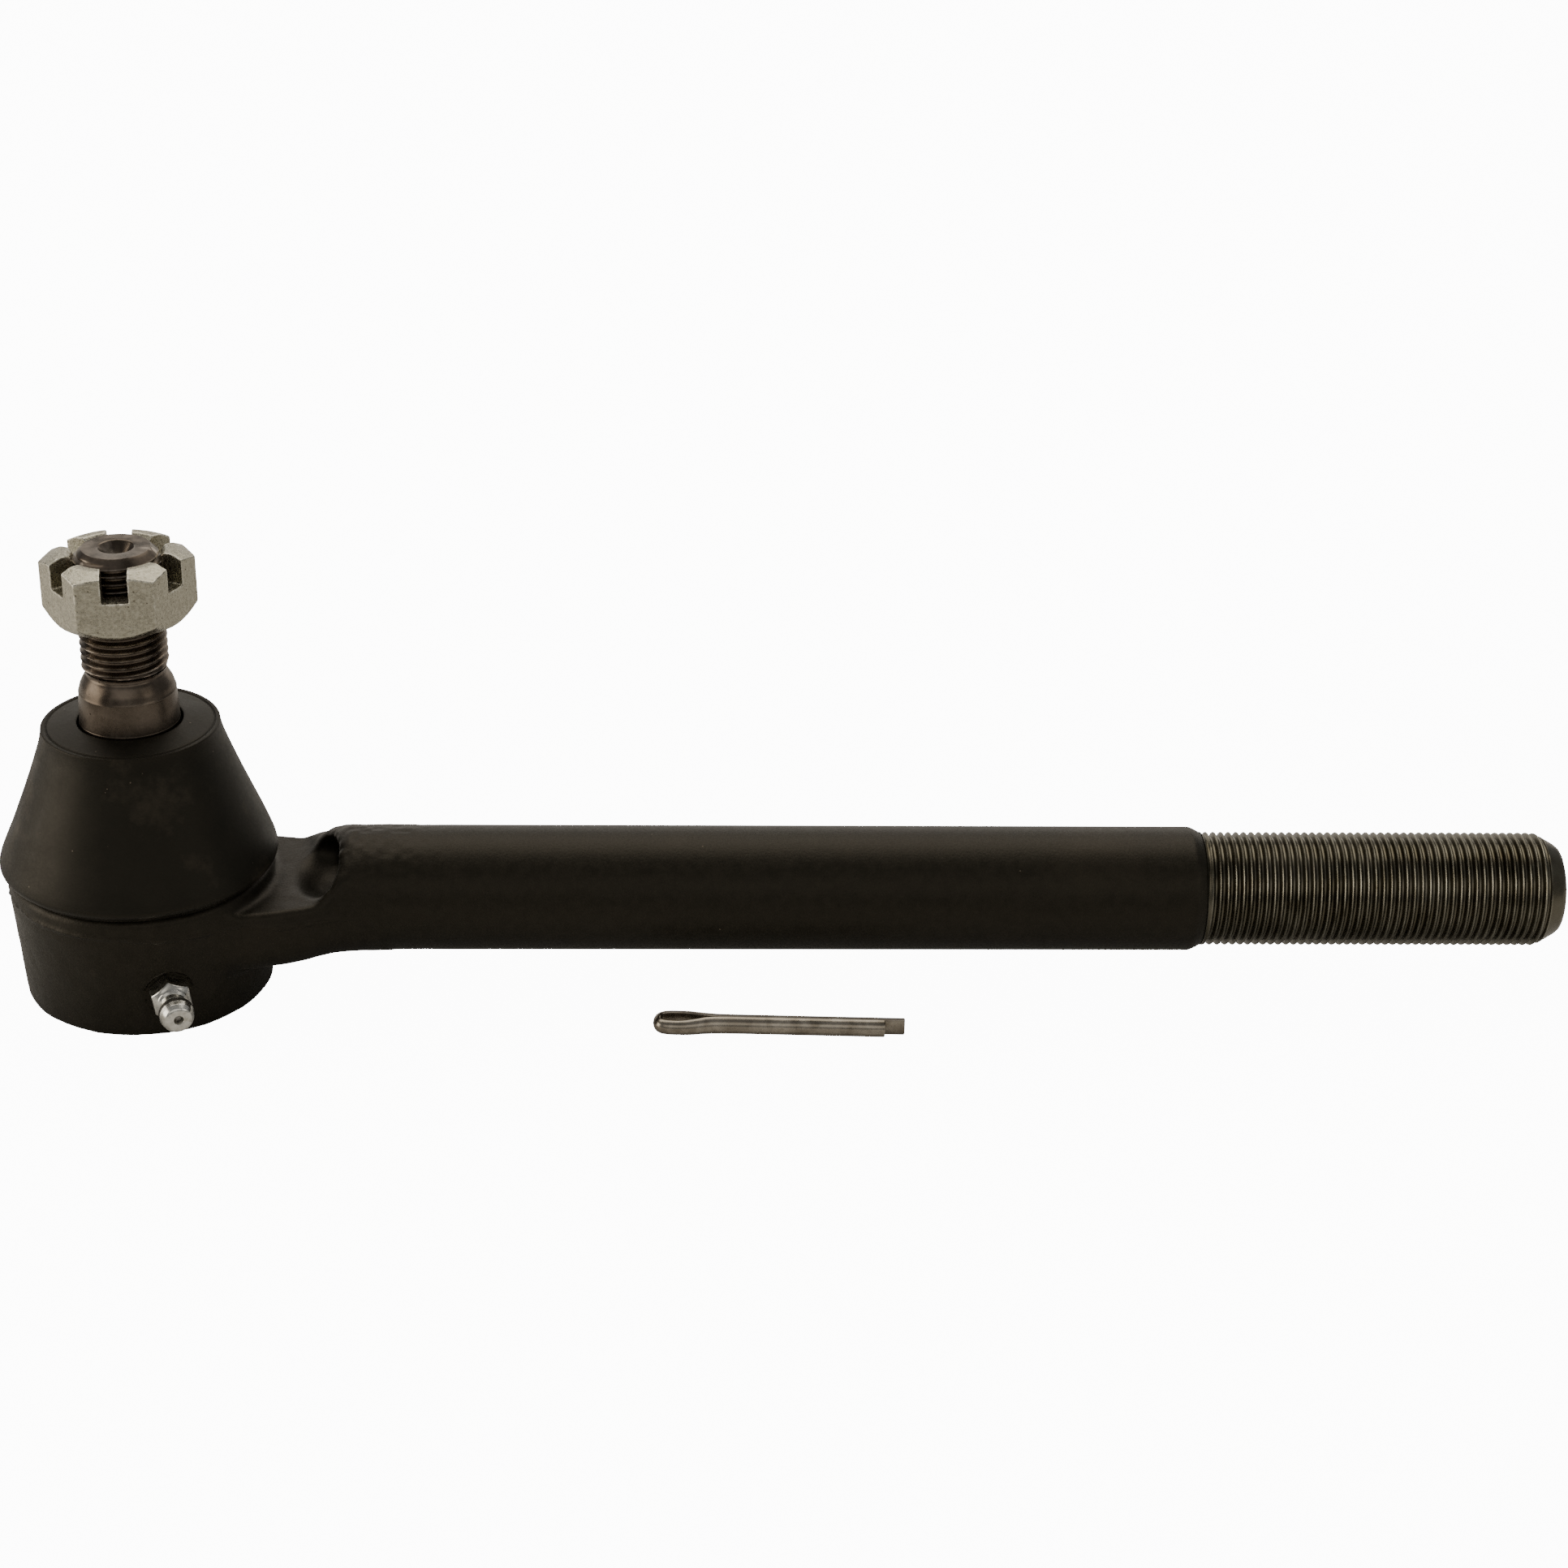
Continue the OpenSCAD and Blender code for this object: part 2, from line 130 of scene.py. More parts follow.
# %% [markdown]
# A thread has flat crests, sloping flanks and a rounded root. A bump map would leave the
# outline smooth, so the thread is cut in the mesh. The grid of points is sheared along
# the helix: every row follows one line of the thread, so crests stay crisp with few
# points.

# %% Helper: rows of points along a thread
def thread_depth(phase, pitch):
    """Depth below the crest of a 60 degree thread, at a phase from 0 to 1 along one turn."""
    crest, root = 0.125, 0.25
    flank = (1 - crest - root) / 2
    s = np.abs(((phase + 0.5) % 1) - 0.5)
    return 0.6134 * pitch * np.clip((s - crest / 2) / flank, 0, 1)


def thread_rows(thread, angle, samples):
    """Rows of places along the bar and radii. thread is (start, end, radius, pitch, hand, limit)."""
    start, end, radius, pitch, _, limit = thread
    lead = pitch * angle / (2 * np.pi)
    turns = int(np.ceil((end - start) / pitch)) + 2
    rows = []
    for m in range(-samples, turns * samples):
        x = np.clip(start + m / samples * pitch + lead, start, end)
        fade = np.clip((x - start) / (0.8 * pitch), 0, 1)
        rows.append((x, np.minimum(radius - thread_depth(m / samples, pitch) * fade, limit(x))))
    return rows


PITCH, LEFT_HAND, RIGHT_HAND = 1.5, -1, 1
print("a thread of", PITCH, "mm pitch is", round(float(thread_depth(0.5, PITCH)), 2), "mm deep")

# %% [markdown]
# Turning spins the profile about the bar's axis. Plain rows close on themselves. A row of
# the thread, where it comes back to its start, joins the row one pitch further on, and
# that is all it takes to make a helix out of rings.

# %% Helper: turn a profile, with or without a thread
def turned(before, thread=None, after=(), around=144, samples=10):
    """Points and quads of a bar along +X: a plain stretch, a thread, and another plain stretch."""
    angle = np.arange(around) / around * 2 * np.pi
    rows = [(np.full(around, x), np.full(around, r)) for x, r in before]
    thread_low, hand = len(rows), RIGHT_HAND
    if thread:
        rows += thread_rows(thread, angle, samples)
        hand = thread[4]
    thread_high = len(rows)
    rows += [(np.full(around, x), np.full(around, r)) for x, r in after]
    xs, rs = (np.array(part) for part in zip(*rows))
    points = np.stack([xs, rs * np.cos(angle), hand * rs * np.sin(angle)], -1).reshape(-1, 3)

    number = np.arange(len(rows))
    helical = (number >= thread_low) & (number < thread_high)
    joins = np.where(helical, np.minimum(number + samples, thread_high - 1), number)
    row, col = number[:-1, None], np.arange(around)[None, :]
    seam, beside = col == around - 1, (col + 1) % around
    right = np.where(seam, joins[row], row) * around + beside
    right_up = np.where(seam, joins[row + 1], row + 1) * around + beside
    quads = np.stack([row * around + col, right, right_up, (row + 1) * around + col], -1)
    return points, quads.reshape(-1, 4)


def standing(points):
    """Turns a bar made along +X so that it stands along +Z."""
    return np.stack([points[:, 1], points[:, 2], points[:, 0]], -1)


print("a plain tube of two rings has", len(turned([(0, 1), (1, 1)])[1]), "quads")

# %% [markdown]
# A forging has no sharp inside corner, because hot steel can't fill one. Booleans and
# bevels struggle with such soft joins, so distance formulas are used. Each shape answers
# how far a point is outside it. The smaller of two answers joins the shapes, the larger
# cuts one by the other, and mixing the two answers near the join gives the fillet.

# %% Helper: join and cut with a fillet
def join(a, b, soft):
    h = np.clip(0.5 + 0.5 * (b - a) / soft, 0, 1)
    return b * (1 - h) + a * h - soft * h * (1 - h)


def cut(a, b, soft):
    """The part of a that is also inside b, with the edge between them rounded."""
    return -join(-a, -b, soft)


print("a fillet of 2 fills its corner by", -join(0.0, 0.0, 2.0))

# %% [markdown]
# Forged, cast and moulded surfaces are never quite flat. Smooth random lumps, a few
# hundredths of a millimetre high, are added to the formulas, so that highlights wander a
# little as they do on real metal. The numbers come from a seed, so every run is the same.

# %% Helper: smooth random lumps
def lumps(p, size, seed):
    """Smooth random values from -1 to 1 that change over about size millimetres."""
    rng = np.random.default_rng(seed)
    table = rng.uniform(-1, 1, 4096)
    q = p / size
    cell = np.floor(q).astype(int)
    f = q - cell
    f = f * f * (3 - 2 * f)
    total = 0.0
    for dx in (0, 1):
        for dy in (0, 1):
            for dz in (0, 1):
                key = (cell[..., 0] + dx) * 73 + (cell[..., 1] + dy) * 619 + (cell[..., 2] + dz) * 2477
                w = (np.where(dx, f[..., 0], 1 - f[..., 0]) * np.where(dy, f[..., 1], 1 - f[..., 1])
                     * np.where(dz, f[..., 2], 1 - f[..., 2]))
                total = total + w * table[key % 4096]
    return total


print("a lump at the origin:", round(float(lumps(np.zeros(3), 5.0, 3)), 2))

# %% [markdown]
# The skin is laid where the formula is zero. Space is cut into small cells, one point is
# put in each cell that the surface passes through, and the points of the four cells round
# every crossed edge are joined by a quad.

# %% Helper: rough skin from crossed cells
def crossed_edges(value, low, cell, axis):
    """Edges along one axis where the formula changes sign: places, corners, and which way is out."""
    start, end = [slice(None)] * 3, [slice(None)] * 3
    start[axis], end[axis] = slice(0, -1), slice(1, None)
    v0, v1 = value[tuple(start)], value[tuple(end)]
    cross = (v0 < 0) != (v1 < 0)
    at = np.argwhere(cross)
    v0, v1 = v0[cross], v1[cross]
    p = low + cell * at
    p[:, axis] += cell * v0 / (v0 - v1)
    return p, at, v0 < 0


def rough_skin(field, low, high, cell):
    """Points and quads close to where field is zero."""
    count = np.ceil((high - low) / cell).astype(int) + 1
    value = field(np.stack(np.meshgrid(*[low[k] + cell * np.arange(count[k]) for k in range(3)],
                                       indexing="ij"), -1))
    centre, hits = np.zeros(tuple(count - 1) + (3,)), np.zeros(tuple(count - 1))
    edges = []
    for axis in range(3):
        b, c = (axis + 1) % 3, (axis + 2) % 3
        p, at, outward = crossed_edges(value, low, cell, axis)
        ring, inside = [], np.ones(len(at), bool)
        for db, dc in ((0, 0), (1, 0), (1, 1), (0, 1)):
            box = at.copy()
            box[:, b] -= db
            box[:, c] -= dc
            fits = np.all((box >= 0) & (box < count - 1), 1)
            inside &= fits
            np.add.at(centre, tuple(box[fits].T), p[fits])
            np.add.at(hits, tuple(box[fits].T), 1)
            ring.append(box)
        edges.append((ring, inside, outward))
    used = hits > 0
    number = np.full(hits.shape, -1)
    number[used] = np.arange(used.sum())
    quads = []
    for ring, inside, outward in edges:
        ids = np.stack([number[tuple(box[inside].T)] for box in ring], -1)
        flip = ~outward[inside]
        ids[flip] = ids[flip][:, ::-1]
        quads.append(ids)
    return centre[used] / hits[used][:, None], np.concatenate(quads)


ball_points, ball_quads = rough_skin(lambda p: np.linalg.norm(p, axis=-1) - 1.0,
                                     np.full(3, -1.3), np.full(3, 1.3), 0.5)
print("a rough ball has", len(ball_points), "points and", len(ball_quads), "quads")

# %% [markdown]
# The rough points are then pulled exactly onto the surface along its slope. The same
# slope gives the shading normals, so the skin looks smooth although its cells are half a
# millimetre wide.

# %% Helper: lay a smooth skin over a formula
def slope(field, p, step=0.02):
    g = np.zeros_like(p)
    for k in range(3):
        d = np.zeros(3)
        d[k] = step
        g[..., k] = (field(p + d) - field(p - d)) / (2 * step)
    return g


def skin(name, field, low, high, cell, polish=4):
    """A piece whose surface lies where field is zero, with normals taken from the slope."""
    points, quads = rough_skin(field, np.array(low, float), np.array(high, float), cell)
    for _ in range(polish):
        g = slope(field, points)
        move = field(points)[:, None] * g / np.maximum((g * g).sum(1)[:, None], 0.05)
        points -= np.clip(move, -cell, cell)
    piece = mesh_object(name, points, quads, sharp=0)
    co = np.zeros(len(piece.data.vertices) * 3)
    piece.data.vertices.foreach_get("co", co)
    normal = slope(field, co.reshape(-1, 3) / MM)
    normal /= np.linalg.norm(normal, axis=1)[:, None] + 1e-9
    piece.data.normals_split_custom_set_from_vertices(normal.tolist())
    return piece


print("slope of a plane:", slope(lambda p: p[..., 2], np.zeros((1, 3)))[0].round(2))

# %% [markdown]
# The eye is a short drum. It was drawn out of two half dies, so its wall leans in below
# the parting line, and its rims are rounded. On top stands a low collar with a groove,
# which holds the foot of the dust boot.

# %% Eye
EYE_H, COLLAR_R, COLLAR_H, GROOVE_R = 25.0, 19.2, 3.5, 17.9
WALL_HEIGHTS = [0, 4, 9, 15, 20, 22, 24, 26]
WALL_RADII = [23.2, 23.5, 23.9, 24.4, 24.8, 24.8, 24.5, 24.2]


def eye_shape(r, z):
    """Distances to the drum and to the grooved collar, at a radius and a height."""
    wall = np.interp(z, WALL_HEIGHTS, WALL_RADII)
    drum = cut(cut(r - wall, 0.08 - z, 0.6), z - EYE_H, 1.6)
    collar = np.maximum(cut(r - COLLAR_R, z - EYE_H - COLLAR_H, 1.0), EYE_H - 4 - z)
    groove = np.maximum(np.abs(z - EYE_H - 1.6) - 0.9, GROOVE_R - r)
    return drum, np.maximum(collar, -groove)


print("eye", 2 * max(WALL_RADII), "mm across and", EYE_H, "mm high")

# %% [markdown]
# The neck is flattened on top, so that the boot can swing over it, and widens towards the
# eye. Behind it the full round shank begins at a blunt, slanting shoulder, and the die
# has left a thumb-shaped hollow at the shoulder's foot. The bar, the wing beside it and
# the cutting shapes are separate formulas, each with the fillet that the real corner has.

# %% Neck and shoulder
SHANK_Z, SHANK_R, PLATFORM_Z, SHOULDER_X = 19.5, 12.0, 22.2, 33.1
HALF_WIDTH_X = [10, 18, 22.5, 27, 32, 36, 40, 60]
HALF_WIDTHS = [18.8, 18.4, 17.6, 16.6, 15.0, 13.4, 11.8, 6.0]
THUMB_AT, THUMB_SIZE = [34.8, -1.4, 24.4], np.array([5.2, 8.0, 4.8])


def thumb_hollow(p):
    q = (p - THUMB_AT) / THUMB_SIZE
    reach = np.linalg.norm(q, axis=-1)
    return reach * (reach - 1) / (np.linalg.norm(q / THUMB_SIZE, axis=-1) + 1e-6)


def neck_shape(p):
    x, y, z = p[..., 0], p[..., 1], p[..., 2]
    bar = np.hypot(y, z - SHANK_Z) - SHANK_R
    half = np.interp(x, HALF_WIDTH_X, HALF_WIDTHS)
    low = np.interp(x, [20, 30, 40], [8.9, 9.6, 10.4])
    wing = cut(np.abs(y) - half + np.maximum(z - SHANK_Z, 0) * 0.42, low - z, 6.5)
    wing = np.maximum(cut(wing, z - SHANK_Z - 6.0, 2.0), x - 46)
    neck = np.maximum(join(bar, wing, 2.4), 8.0 - x)
    lift = np.clip((z - 23.5) / 6, 0, 1)
    shoulder = (x - SHOULDER_X + 0.2 * y - (z - PLATFORM_Z) * 0.42) * 0.9
    above = cut(PLATFORM_Z - z, shoulder, 3.0)
    neck = cut(neck, -above, 1.1 + 3.6 * lift)
    return cut(neck, -thumb_hollow(p), 2.6)


print("the platform is", round(SHANK_Z + SHANK_R - PLATFORM_Z, 1), "mm below the shank's top")

# %% [markdown]
# Two things tell that the piece was forged. The skin is uneven, most of all near the
# shoulder where the die wears, and a rough seam runs round the side at the height where
# the dies met and the flash was trimmed off. Both are real shape here, because they show
# in the outline.

# %% Forged skin and parting line
SEAM_X, SEAM_HEIGHTS = [-25, -5, 15, 30], [22.0, 21.7, 20.5, SHANK_Z]


def weathered(body, p):
    x, y, z = p[..., 0], p[..., 1], p[..., 2]
    near = np.clip((66 - x) / 24, 0, 1)
    hammered = np.clip((x - 33) / 4, 0, 1) * np.clip((60 - x) / 14, 0, 1) * np.clip((z - 18) / 3, 0, 1)
    body = body + (0.09 * lumps(p, 6.0, 3) + 0.045 * lumps(p, 2.2, 5)) * near
    body = body + 0.10 * lumps(p * [1.0, 1.0, 0.5], 1.2, 6) * hammered
    seam_z = np.interp(x, SEAM_X, SEAM_HEIGHTS) + 0.3 * lumps(p, 5.0, 8)
    on_side = np.clip((np.hypot(x * 0.6, y) - 11.0) / 2, 0, 1) * np.clip((44 - x) / 8, 0, 1)
    ridge = 0.18 + 0.24 * lumps(p, 1.5, 9)
    body = body - on_side * ridge * np.exp(-((z - seam_z) / 0.4) ** 2)
    return body - on_side * 0.14 / (1 + np.exp((seam_z - z) * 6))


print("the seam falls from", SEAM_HEIGHTS[0], "to", SEAM_HEIGHTS[-1], "mm along the neck")

# %% [markdown]
# After forging, the eye is bored for the races, recessed below for the closing cap, and
# opened above so that the stud can swing. A spot face and a tapped hole take the grease
# nipple. These are cut after the seam is added, so their edges come out clean.

# %% Bores of the eye
NIPPLE_TURN, NIPPLE_Z, SPOT_X = math.radians(18), 9.2, 23.4
LIP_R, CAP_SEAT_R, POCKET_R, SPOT_R, TAPPED_R = 16.8, 18.0, 16.0, 4.4, 3.05


def bored(body, p):
    x, y, z = p[..., 0], p[..., 1], p[..., 2]
    r = np.hypot(x, y)
    along = x * math.sin(NIPPLE_TURN) - y * math.cos(NIPPLE_TURN)
    off_axis = np.hypot(x * math.cos(NIPPLE_TURN) + y * math.sin(NIPPLE_TURN), z - NIPPLE_Z)
    body = cut(body, -np.maximum(off_axis - SPOT_R, SPOT_X - along), 0.4)
    body = np.maximum(body, -np.maximum(off_axis - TAPPED_R, 14 - along))
    lip = np.maximum(r - LIP_R, z - 0.9)
    seat = np.maximum(r - CAP_SEAT_R, np.abs(z - 2.1) - 1.2)
    pocket = np.maximum(r - POCKET_R, np.abs(z - 12.6) - 9.4)
    mouth = np.maximum(r - np.interp(z, [22, 29.5], [11.4, 14.4]), 21.5 - z)
    return cut(body, -np.minimum(np.minimum(lip, seat), np.minimum(pocket, mouth)), 0.3)


print("the pocket is", 2 * POCKET_R, "mm wide")

# %% [markdown]
# The forging is the neck, the drum and the collar joined, weathered, and then bored. Half
# a millimetre is a cell small enough for its fillets. The skin ends on the plain shank.

# %% Forged eye, neck and shoulder
SKIN_END = 74.0


def forging(p):
    drum, collar = eye_shape(np.hypot(p[..., 0], p[..., 1]), p[..., 2])
    body = join(join(neck_shape(p), drum, 1.8), collar, 0.6)
    return bored(weathered(body, p), p)


housing = skin("housing_forging", forging, (-26.5, -26.5, -1.2), (SKIN_END, 26.5, 33), 0.5)

# %% [markdown]
# Behind the shoulder the shank is a plain round bar as far as a small chamfer. It starts
# a little inside the skin's end, at exactly the same radius, so the two read as one bar.

# %% Shank bar
THREAD_START, SHANK_END = 203.6, 273.4
bar_profile = rounded([
    (SKIN_END - 6, 11.6), (SKIN_END - 4, SHANK_R - 0.05), (SKIN_END - 1.2, SHANK_R), (90, SHANK_R),
    (THREAD_START - 2.4, SHANK_R, 0.5), (THREAD_START - 0.6, 11.1, 0.4), (THREAD_START + 0.2, 10.2)], 0.4)
pts, quads = turned(bar_profile, around=192)
pts[:, 2] += SHANK_Z
shank_bar = mesh_object("housing_shank", pts, quads)

# %% [markdown]
# The last stretch carries a fine thread of 1.5 mm pitch, over forty turns, and a long
# chamfer so that the socket starts easily. The thread is cut left-handed: rod ends are
# made in pairs, so that turning the bar between them draws both in at once.

# %% Shank thread
THREAD_R, END_FACE_R = 11.0, 7.7


def shank_limit(x):
    """The bar's own radius, which cuts the thread off along the end chamfer."""
    return np.interp(x, [THREAD_START, SHANK_END - 4.6, SHANK_END - 0.9, SHANK_END - 0.2, SHANK_END],
                     [THREAD_R, THREAD_R, 8.9, 8.3, END_FACE_R])


end_face = rounded([(SHANK_END, END_FACE_R), (SHANK_END, 4.0), (SHANK_END - 0.02, 1.9),
                    (SHANK_END - 1.6, 0.9), (SHANK_END - 1.6, 0.0)], 0.2)
root = THREAD_START - 0.3
pts, quads = turned([(root, 9.5), (root, THREAD_R)],
                    (root, SHANK_END, THREAD_R, PITCH, LEFT_HAND, shank_limit), end_face)
pts[:, 2] += SHANK_Z
shank_thread = mesh_object("housing_thread", pts, quads, sharp=28)

# %% [markdown]
# The three pieces of the forging stand in for one solid. They ride with it and carry two
# finishes: the black coat, and bare steel where the thread was cut after coating.

# %% Put the housing's pieces on their body
for piece, slot in ((housing, "black_forging"), (shank_bar, "black_forging"),
                    (shank_thread, "bare_thread_steel")):
    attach(piece, "housing")
    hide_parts("housing")
    print(piece.name, "has the slot", slot)

# %% [markdown]
# The ball stud is turned from bar: a ball at its foot, a slender neck, a taper of one in
# ten with a narrow band above it, a rounded shoulder and a relief groove. The profile is
# a list of heights and radii, and the ball is an arc.

# %% Ball stud: ball, neck and taper
BALL_Z, BALL_R, STUD_THREAD_Z, STUD_THREAD_R = 16.5, 12.0, 65.9, 8.0
ball_arc = [(BALL_Z + BALL_R * math.sin(a), BALL_R * math.cos(a))
            for a in np.radians(np.linspace(-56, 51, 26))]
neck_and_taper = rounded([
    (26.1, 7.3), (27.0, 7.25), (35.0, 7.25, 2.5), (39.8, 9.5, 1.5), (41.0, 10.0, 0.8), (55.4, 9.29),
    (55.5, 9.25), (61.2, 8.97, 0.15), (61.45, 9.0, 0.1), (61.8, 8.85, 0.2), (63.0, 8.55, 0.9),
    (64.5, 7.7, 0.9), (65.0, 7.3, 0.4), (65.6, 7.25, 0.2), (STUD_THREAD_Z, 7.5, 0.1)], 0.3)
stud_foot = [(6.5, 0.0), (6.5, 6.4)] + ball_arc + [tuple(p) for p in neck_and_taper]
print("the stud's foot has", len(stud_foot), "profile points")

# %% [markdown]
# Above the groove comes a fine right-hand thread with a chamfered end. The end keeps the
# centre hole that held the stud in the lathe.

# %% Ball stud: thread and end
STUD_END, STUD_FACE_R = 89.5, 6.2


def stud_limit(z):
    return np.interp(z, [STUD_THREAD_Z, STUD_THREAD_Z + 0.8, STUD_END - 1.75, STUD_END - 0.3, STUD_END],
                     [7.2, STUD_THREAD_R, STUD_THREAD_R, 6.55, STUD_FACE_R])


stud_face = rounded([(STUD_END, STUD_FACE_R), (STUD_END, 3.3, 0.25), (STUD_END - 2.6, 1.5, 0.2),
                     (STUD_END - 5.5, 1.4), (STUD_END - 6.2, 0.0)], 0.2)
stud_thread = (STUD_THREAD_Z, STUD_END, STUD_THREAD_R, PITCH, RIGHT_HAND, stud_limit)
pts, quads = turned(stud_foot, stud_thread, stud_face)
stud = mesh_object("stud_turned", standing(pts), quads, sharp=30)

# %% [markdown]
# A hole is drilled across the stud for the split pin, in line with two of the nut's
# slots. It crosses several thread turns, which no profile can describe, so this one cut
# is a Boolean.

# %% Cross hole
NUT_TURN, CROSS_HOLE_R, CROSS_HOLE_Z = math.radians(6.5), 2.15, 85.2
drill_mesh = bpy.data.meshes.new("cross_drill")
bm = bmesh.new()
bmesh.ops.create_cone(bm, cap_ends=True, segments=48, radius1=CROSS_HOLE_R * MM, radius2=CROSS_HOLE_R * MM,
                      depth=24 * MM)
bm.to_mesh(drill_mesh)
bm.free()
drill = bpy.data.objects.new("cross_drill", drill_mesh)
bpy.context.scene.collection.objects.link(drill)
drill.rotation_euler = (math.pi / 2, 0, NUT_TURN + math.radians(60))
drill.location = (0, 0, CROSS_HOLE_Z * MM)
hole = stud.modifiers.new("cross hole", "BOOLEAN")
hole.object, hole.operation, hole.solver = drill, "DIFFERENCE", "EXACT"
bpy.context.view_layer.update()
stud.data = bpy.data.meshes.new_from_object(stud.evaluated_get(bpy.context.evaluated_depsgraph_get()))
stud.modifiers.clear()
bpy.data.objects.remove(drill)
stud.data.set_sharp_from_angle(angle=math.radians(30))
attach(stud, "stud")
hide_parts("ball_stud")
print("stud after drilling has", len(stud.data.vertices), "points")

# %% [markdown]
# The castle nut is cold forged, and its corners are turned off by a chamfer above and a
# longer one below. Where a cone cuts a hexagon the edge is a shallow curve, and the
# distance formula gives that curve for nothing. The edges are only lightly rounded,
# because on the real nut they are crisp enough to shine.

# %% Castle nut: turned and chamfered hexagon
NUT_Z, NUT_H, NUT_AF, NUT_BORE_R = 76.1, 12.7, 24.3, 8.08
FLAT_ANGLES = np.radians([30, 90, 150])


def nut_blank(x, y, z):
    r = np.hypot(x, y)
    flats = [np.abs(x * math.cos(a) + y * math.sin(a)) - NUT_AF / 2 for a in FLAT_ANGLES]
    hexagon = cut(cut(flats[0], flats[1], 0.22), flats[2], 0.22)
    corner = NUT_AF / 2 / math.cos(math.pi / 6)
    crown = (r - corner + (z - (NUT_H - 1.7)) * 2.1) / math.hypot(1, 2.1)
    base = (r - corner + (2.2 - z) * 1.1) / math.hypot(1, 1.1)
    solid = cut(cut(hexagon, crown, 0.2), base, 0.4)
    solid = cut(cut(solid, z - NUT_H, 0.25), -z, 0.4)
    solid = cut(solid, NUT_BORE_R - r, 0.3)
    return cut(solid, (8.9 - r - (NUT_H - z)) * 0.7, 0.2)


print("castle nut", NUT_AF, "mm across flats and", NUT_H, "mm high")

# %% [markdown]
# Three cuts right across the crown make its six slots. Their floors are a little rounded,
# and slow lumps on top of fine ones keep the plated faces from looking machined.

# %% Castle nut: slots
SLOT_W, SLOT_D = 4.7, 5.6


def castle(p):
    c, s = math.cos(NUT_TURN), math.sin(NUT_TURN)
    x, y = p[..., 0] * c + p[..., 1] * s, -p[..., 0] * s + p[..., 1] * c
    z = p[..., 2] - NUT_Z
    solid = nut_blank(x, y, z)
    for a in FLAT_ANGLES:
        across = np.abs(-x * math.sin(a) + y * math.cos(a)) - SLOT_W / 2
        slot_floor = (NUT_H - SLOT_D) - z
        solid = cut(solid, -cut(across, slot_floor, 0.5), 0.18)
    return solid + 0.018 * lumps(p, 0.9, 21) + 0.035 * lumps(p, 5.0, 22)


nut = skin("castle_nut_forged", castle, (-14.6, -14.6, NUT_Z - 0.6), (14.6, 14.6, NUT_Z + NUT_H + 0.6), 0.2)
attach(nut, "nut")
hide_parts("castle_nut")

# %% [markdown]
# The boot is a moulded rubber bell. Its top rises a little to the hole, with a moulded
# line inside the rim, its side flares like a bell, and its foot rolls in over the eye's
# edge. It is a closed profile: down the outside, round the foot, and up the inside.

# %% Dust boot: profile
BOOT_TOP = 54.3
boot_outside = [
    (BOOT_TOP - 2.4, 11.4, 0.3), (BOOT_TOP - 2.2, 9.75, 0.3), (BOOT_TOP + 1.0, 9.7, 0.5),
    (BOOT_TOP + 0.9, 10.6, 0.6), (BOOT_TOP + 0.15, 15.2, 0.3), (BOOT_TOP - 0.15, 15.45, 0.2),
    (BOOT_TOP + 0.15, 15.7, 0.2), (BOOT_TOP + 0.2, 16.45, 0.5), (BOOT_TOP - 0.8, 16.55, 0.5),
    (51.4, 17.0, 1.5), (46.5, 18.7, 2.0), (41.5, 20.6, 2.0), (36.0, 22.8, 2.0), (31.4, 24.7, 2.0)]
boot_foot = [(28.8, 25.7, 1.2), (27.4, 26.05, 0.8), (26.6, 25.75, 0.5), (25.9, 24.9, 0.4), (25.3, 24.4, 0.3),
             (25.15, 23.6, 0.2), (26.2, 23.6, 0.6), (28.0, 23.9, 1.0)]
boot_inside = [(31.4, 22.9, 1.5), (36.0, 21.0, 2.0), (41.5, 18.8, 2.0), (46.5, 17.0, 2.0), (50.6, 14.6, 1.0),
               (BOOT_TOP - 2.4, 11.4, 0.3)]
boot_profile = rounded(boot_outside + boot_foot + boot_inside, 0.4, 5)
print("boot", 2 * round(float(boot_profile[:, 1].max()), 1), "mm across its foot")

# %% [markdown]
# The profile is cut into short steps, so that the lumps can bend the wall smoothly, and
# turned about the stud. Rubber is never quite round once it is stretched on, so slow lumps
# push the wall in and out, and near the foot the wall is set a little aside and made wavy.

# %% Dust boot
boot_path = []
for a, b in zip(boot_profile[:-1], boot_profile[1:]):
    pieces = max(1, int(np.ceil(np.linalg.norm(b - a) / 1.0)))
    boot_path += [a + (b - a) * k / pieces for k in range(pieces)]
pts, quads = turned(np.array(boot_path + [boot_profile[-1]]), around=192)
pts = standing(pts)
low_part = np.clip((34.0 - pts[:, 2]) / 8.0, 0, 1)
pts[:, 0] -= 0.3 * low_part
pts[:, 2] += 0.25 * low_part * lumps(pts * [1, 1, 0], 16.0, 33)
pts[:, :2] *= (1 + 0.003 * lumps(pts, 14.0, 31))[:, None]
boot = mesh_object("dust_boot_rubber", pts, quads, sharp=50)
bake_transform(boot)
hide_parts("dust_boot")

# %% [markdown]
# The grease nipple is a tiny turned piece with a hexagon to tighten it. Its head is
# rounded so that a coupler snaps over it, and a spring ball closes the hole in its face.
# It is small enough that one formula, a turned wall joined to a hexagon, is simpler than
# two meshes.

# %% Grease nipple
FACE_X, NIPPLE_HALF_AF, HEX_TURN = 34.2, 3.5, math.radians(8)
STEM_X = [18, 18.5, 23.5, 27.0, 27.1, 27.9, 28.3, 29.4, 30.5, 31.2, 32.2, 33.2, 33.9, 34.2]
STEM_R = [2.6, 3.0, 3.0, 3.0, 2.75, 2.75, 2.3, 2.3, 2.95, 3.25, 3.22, 2.95, 2.5, 2.15]


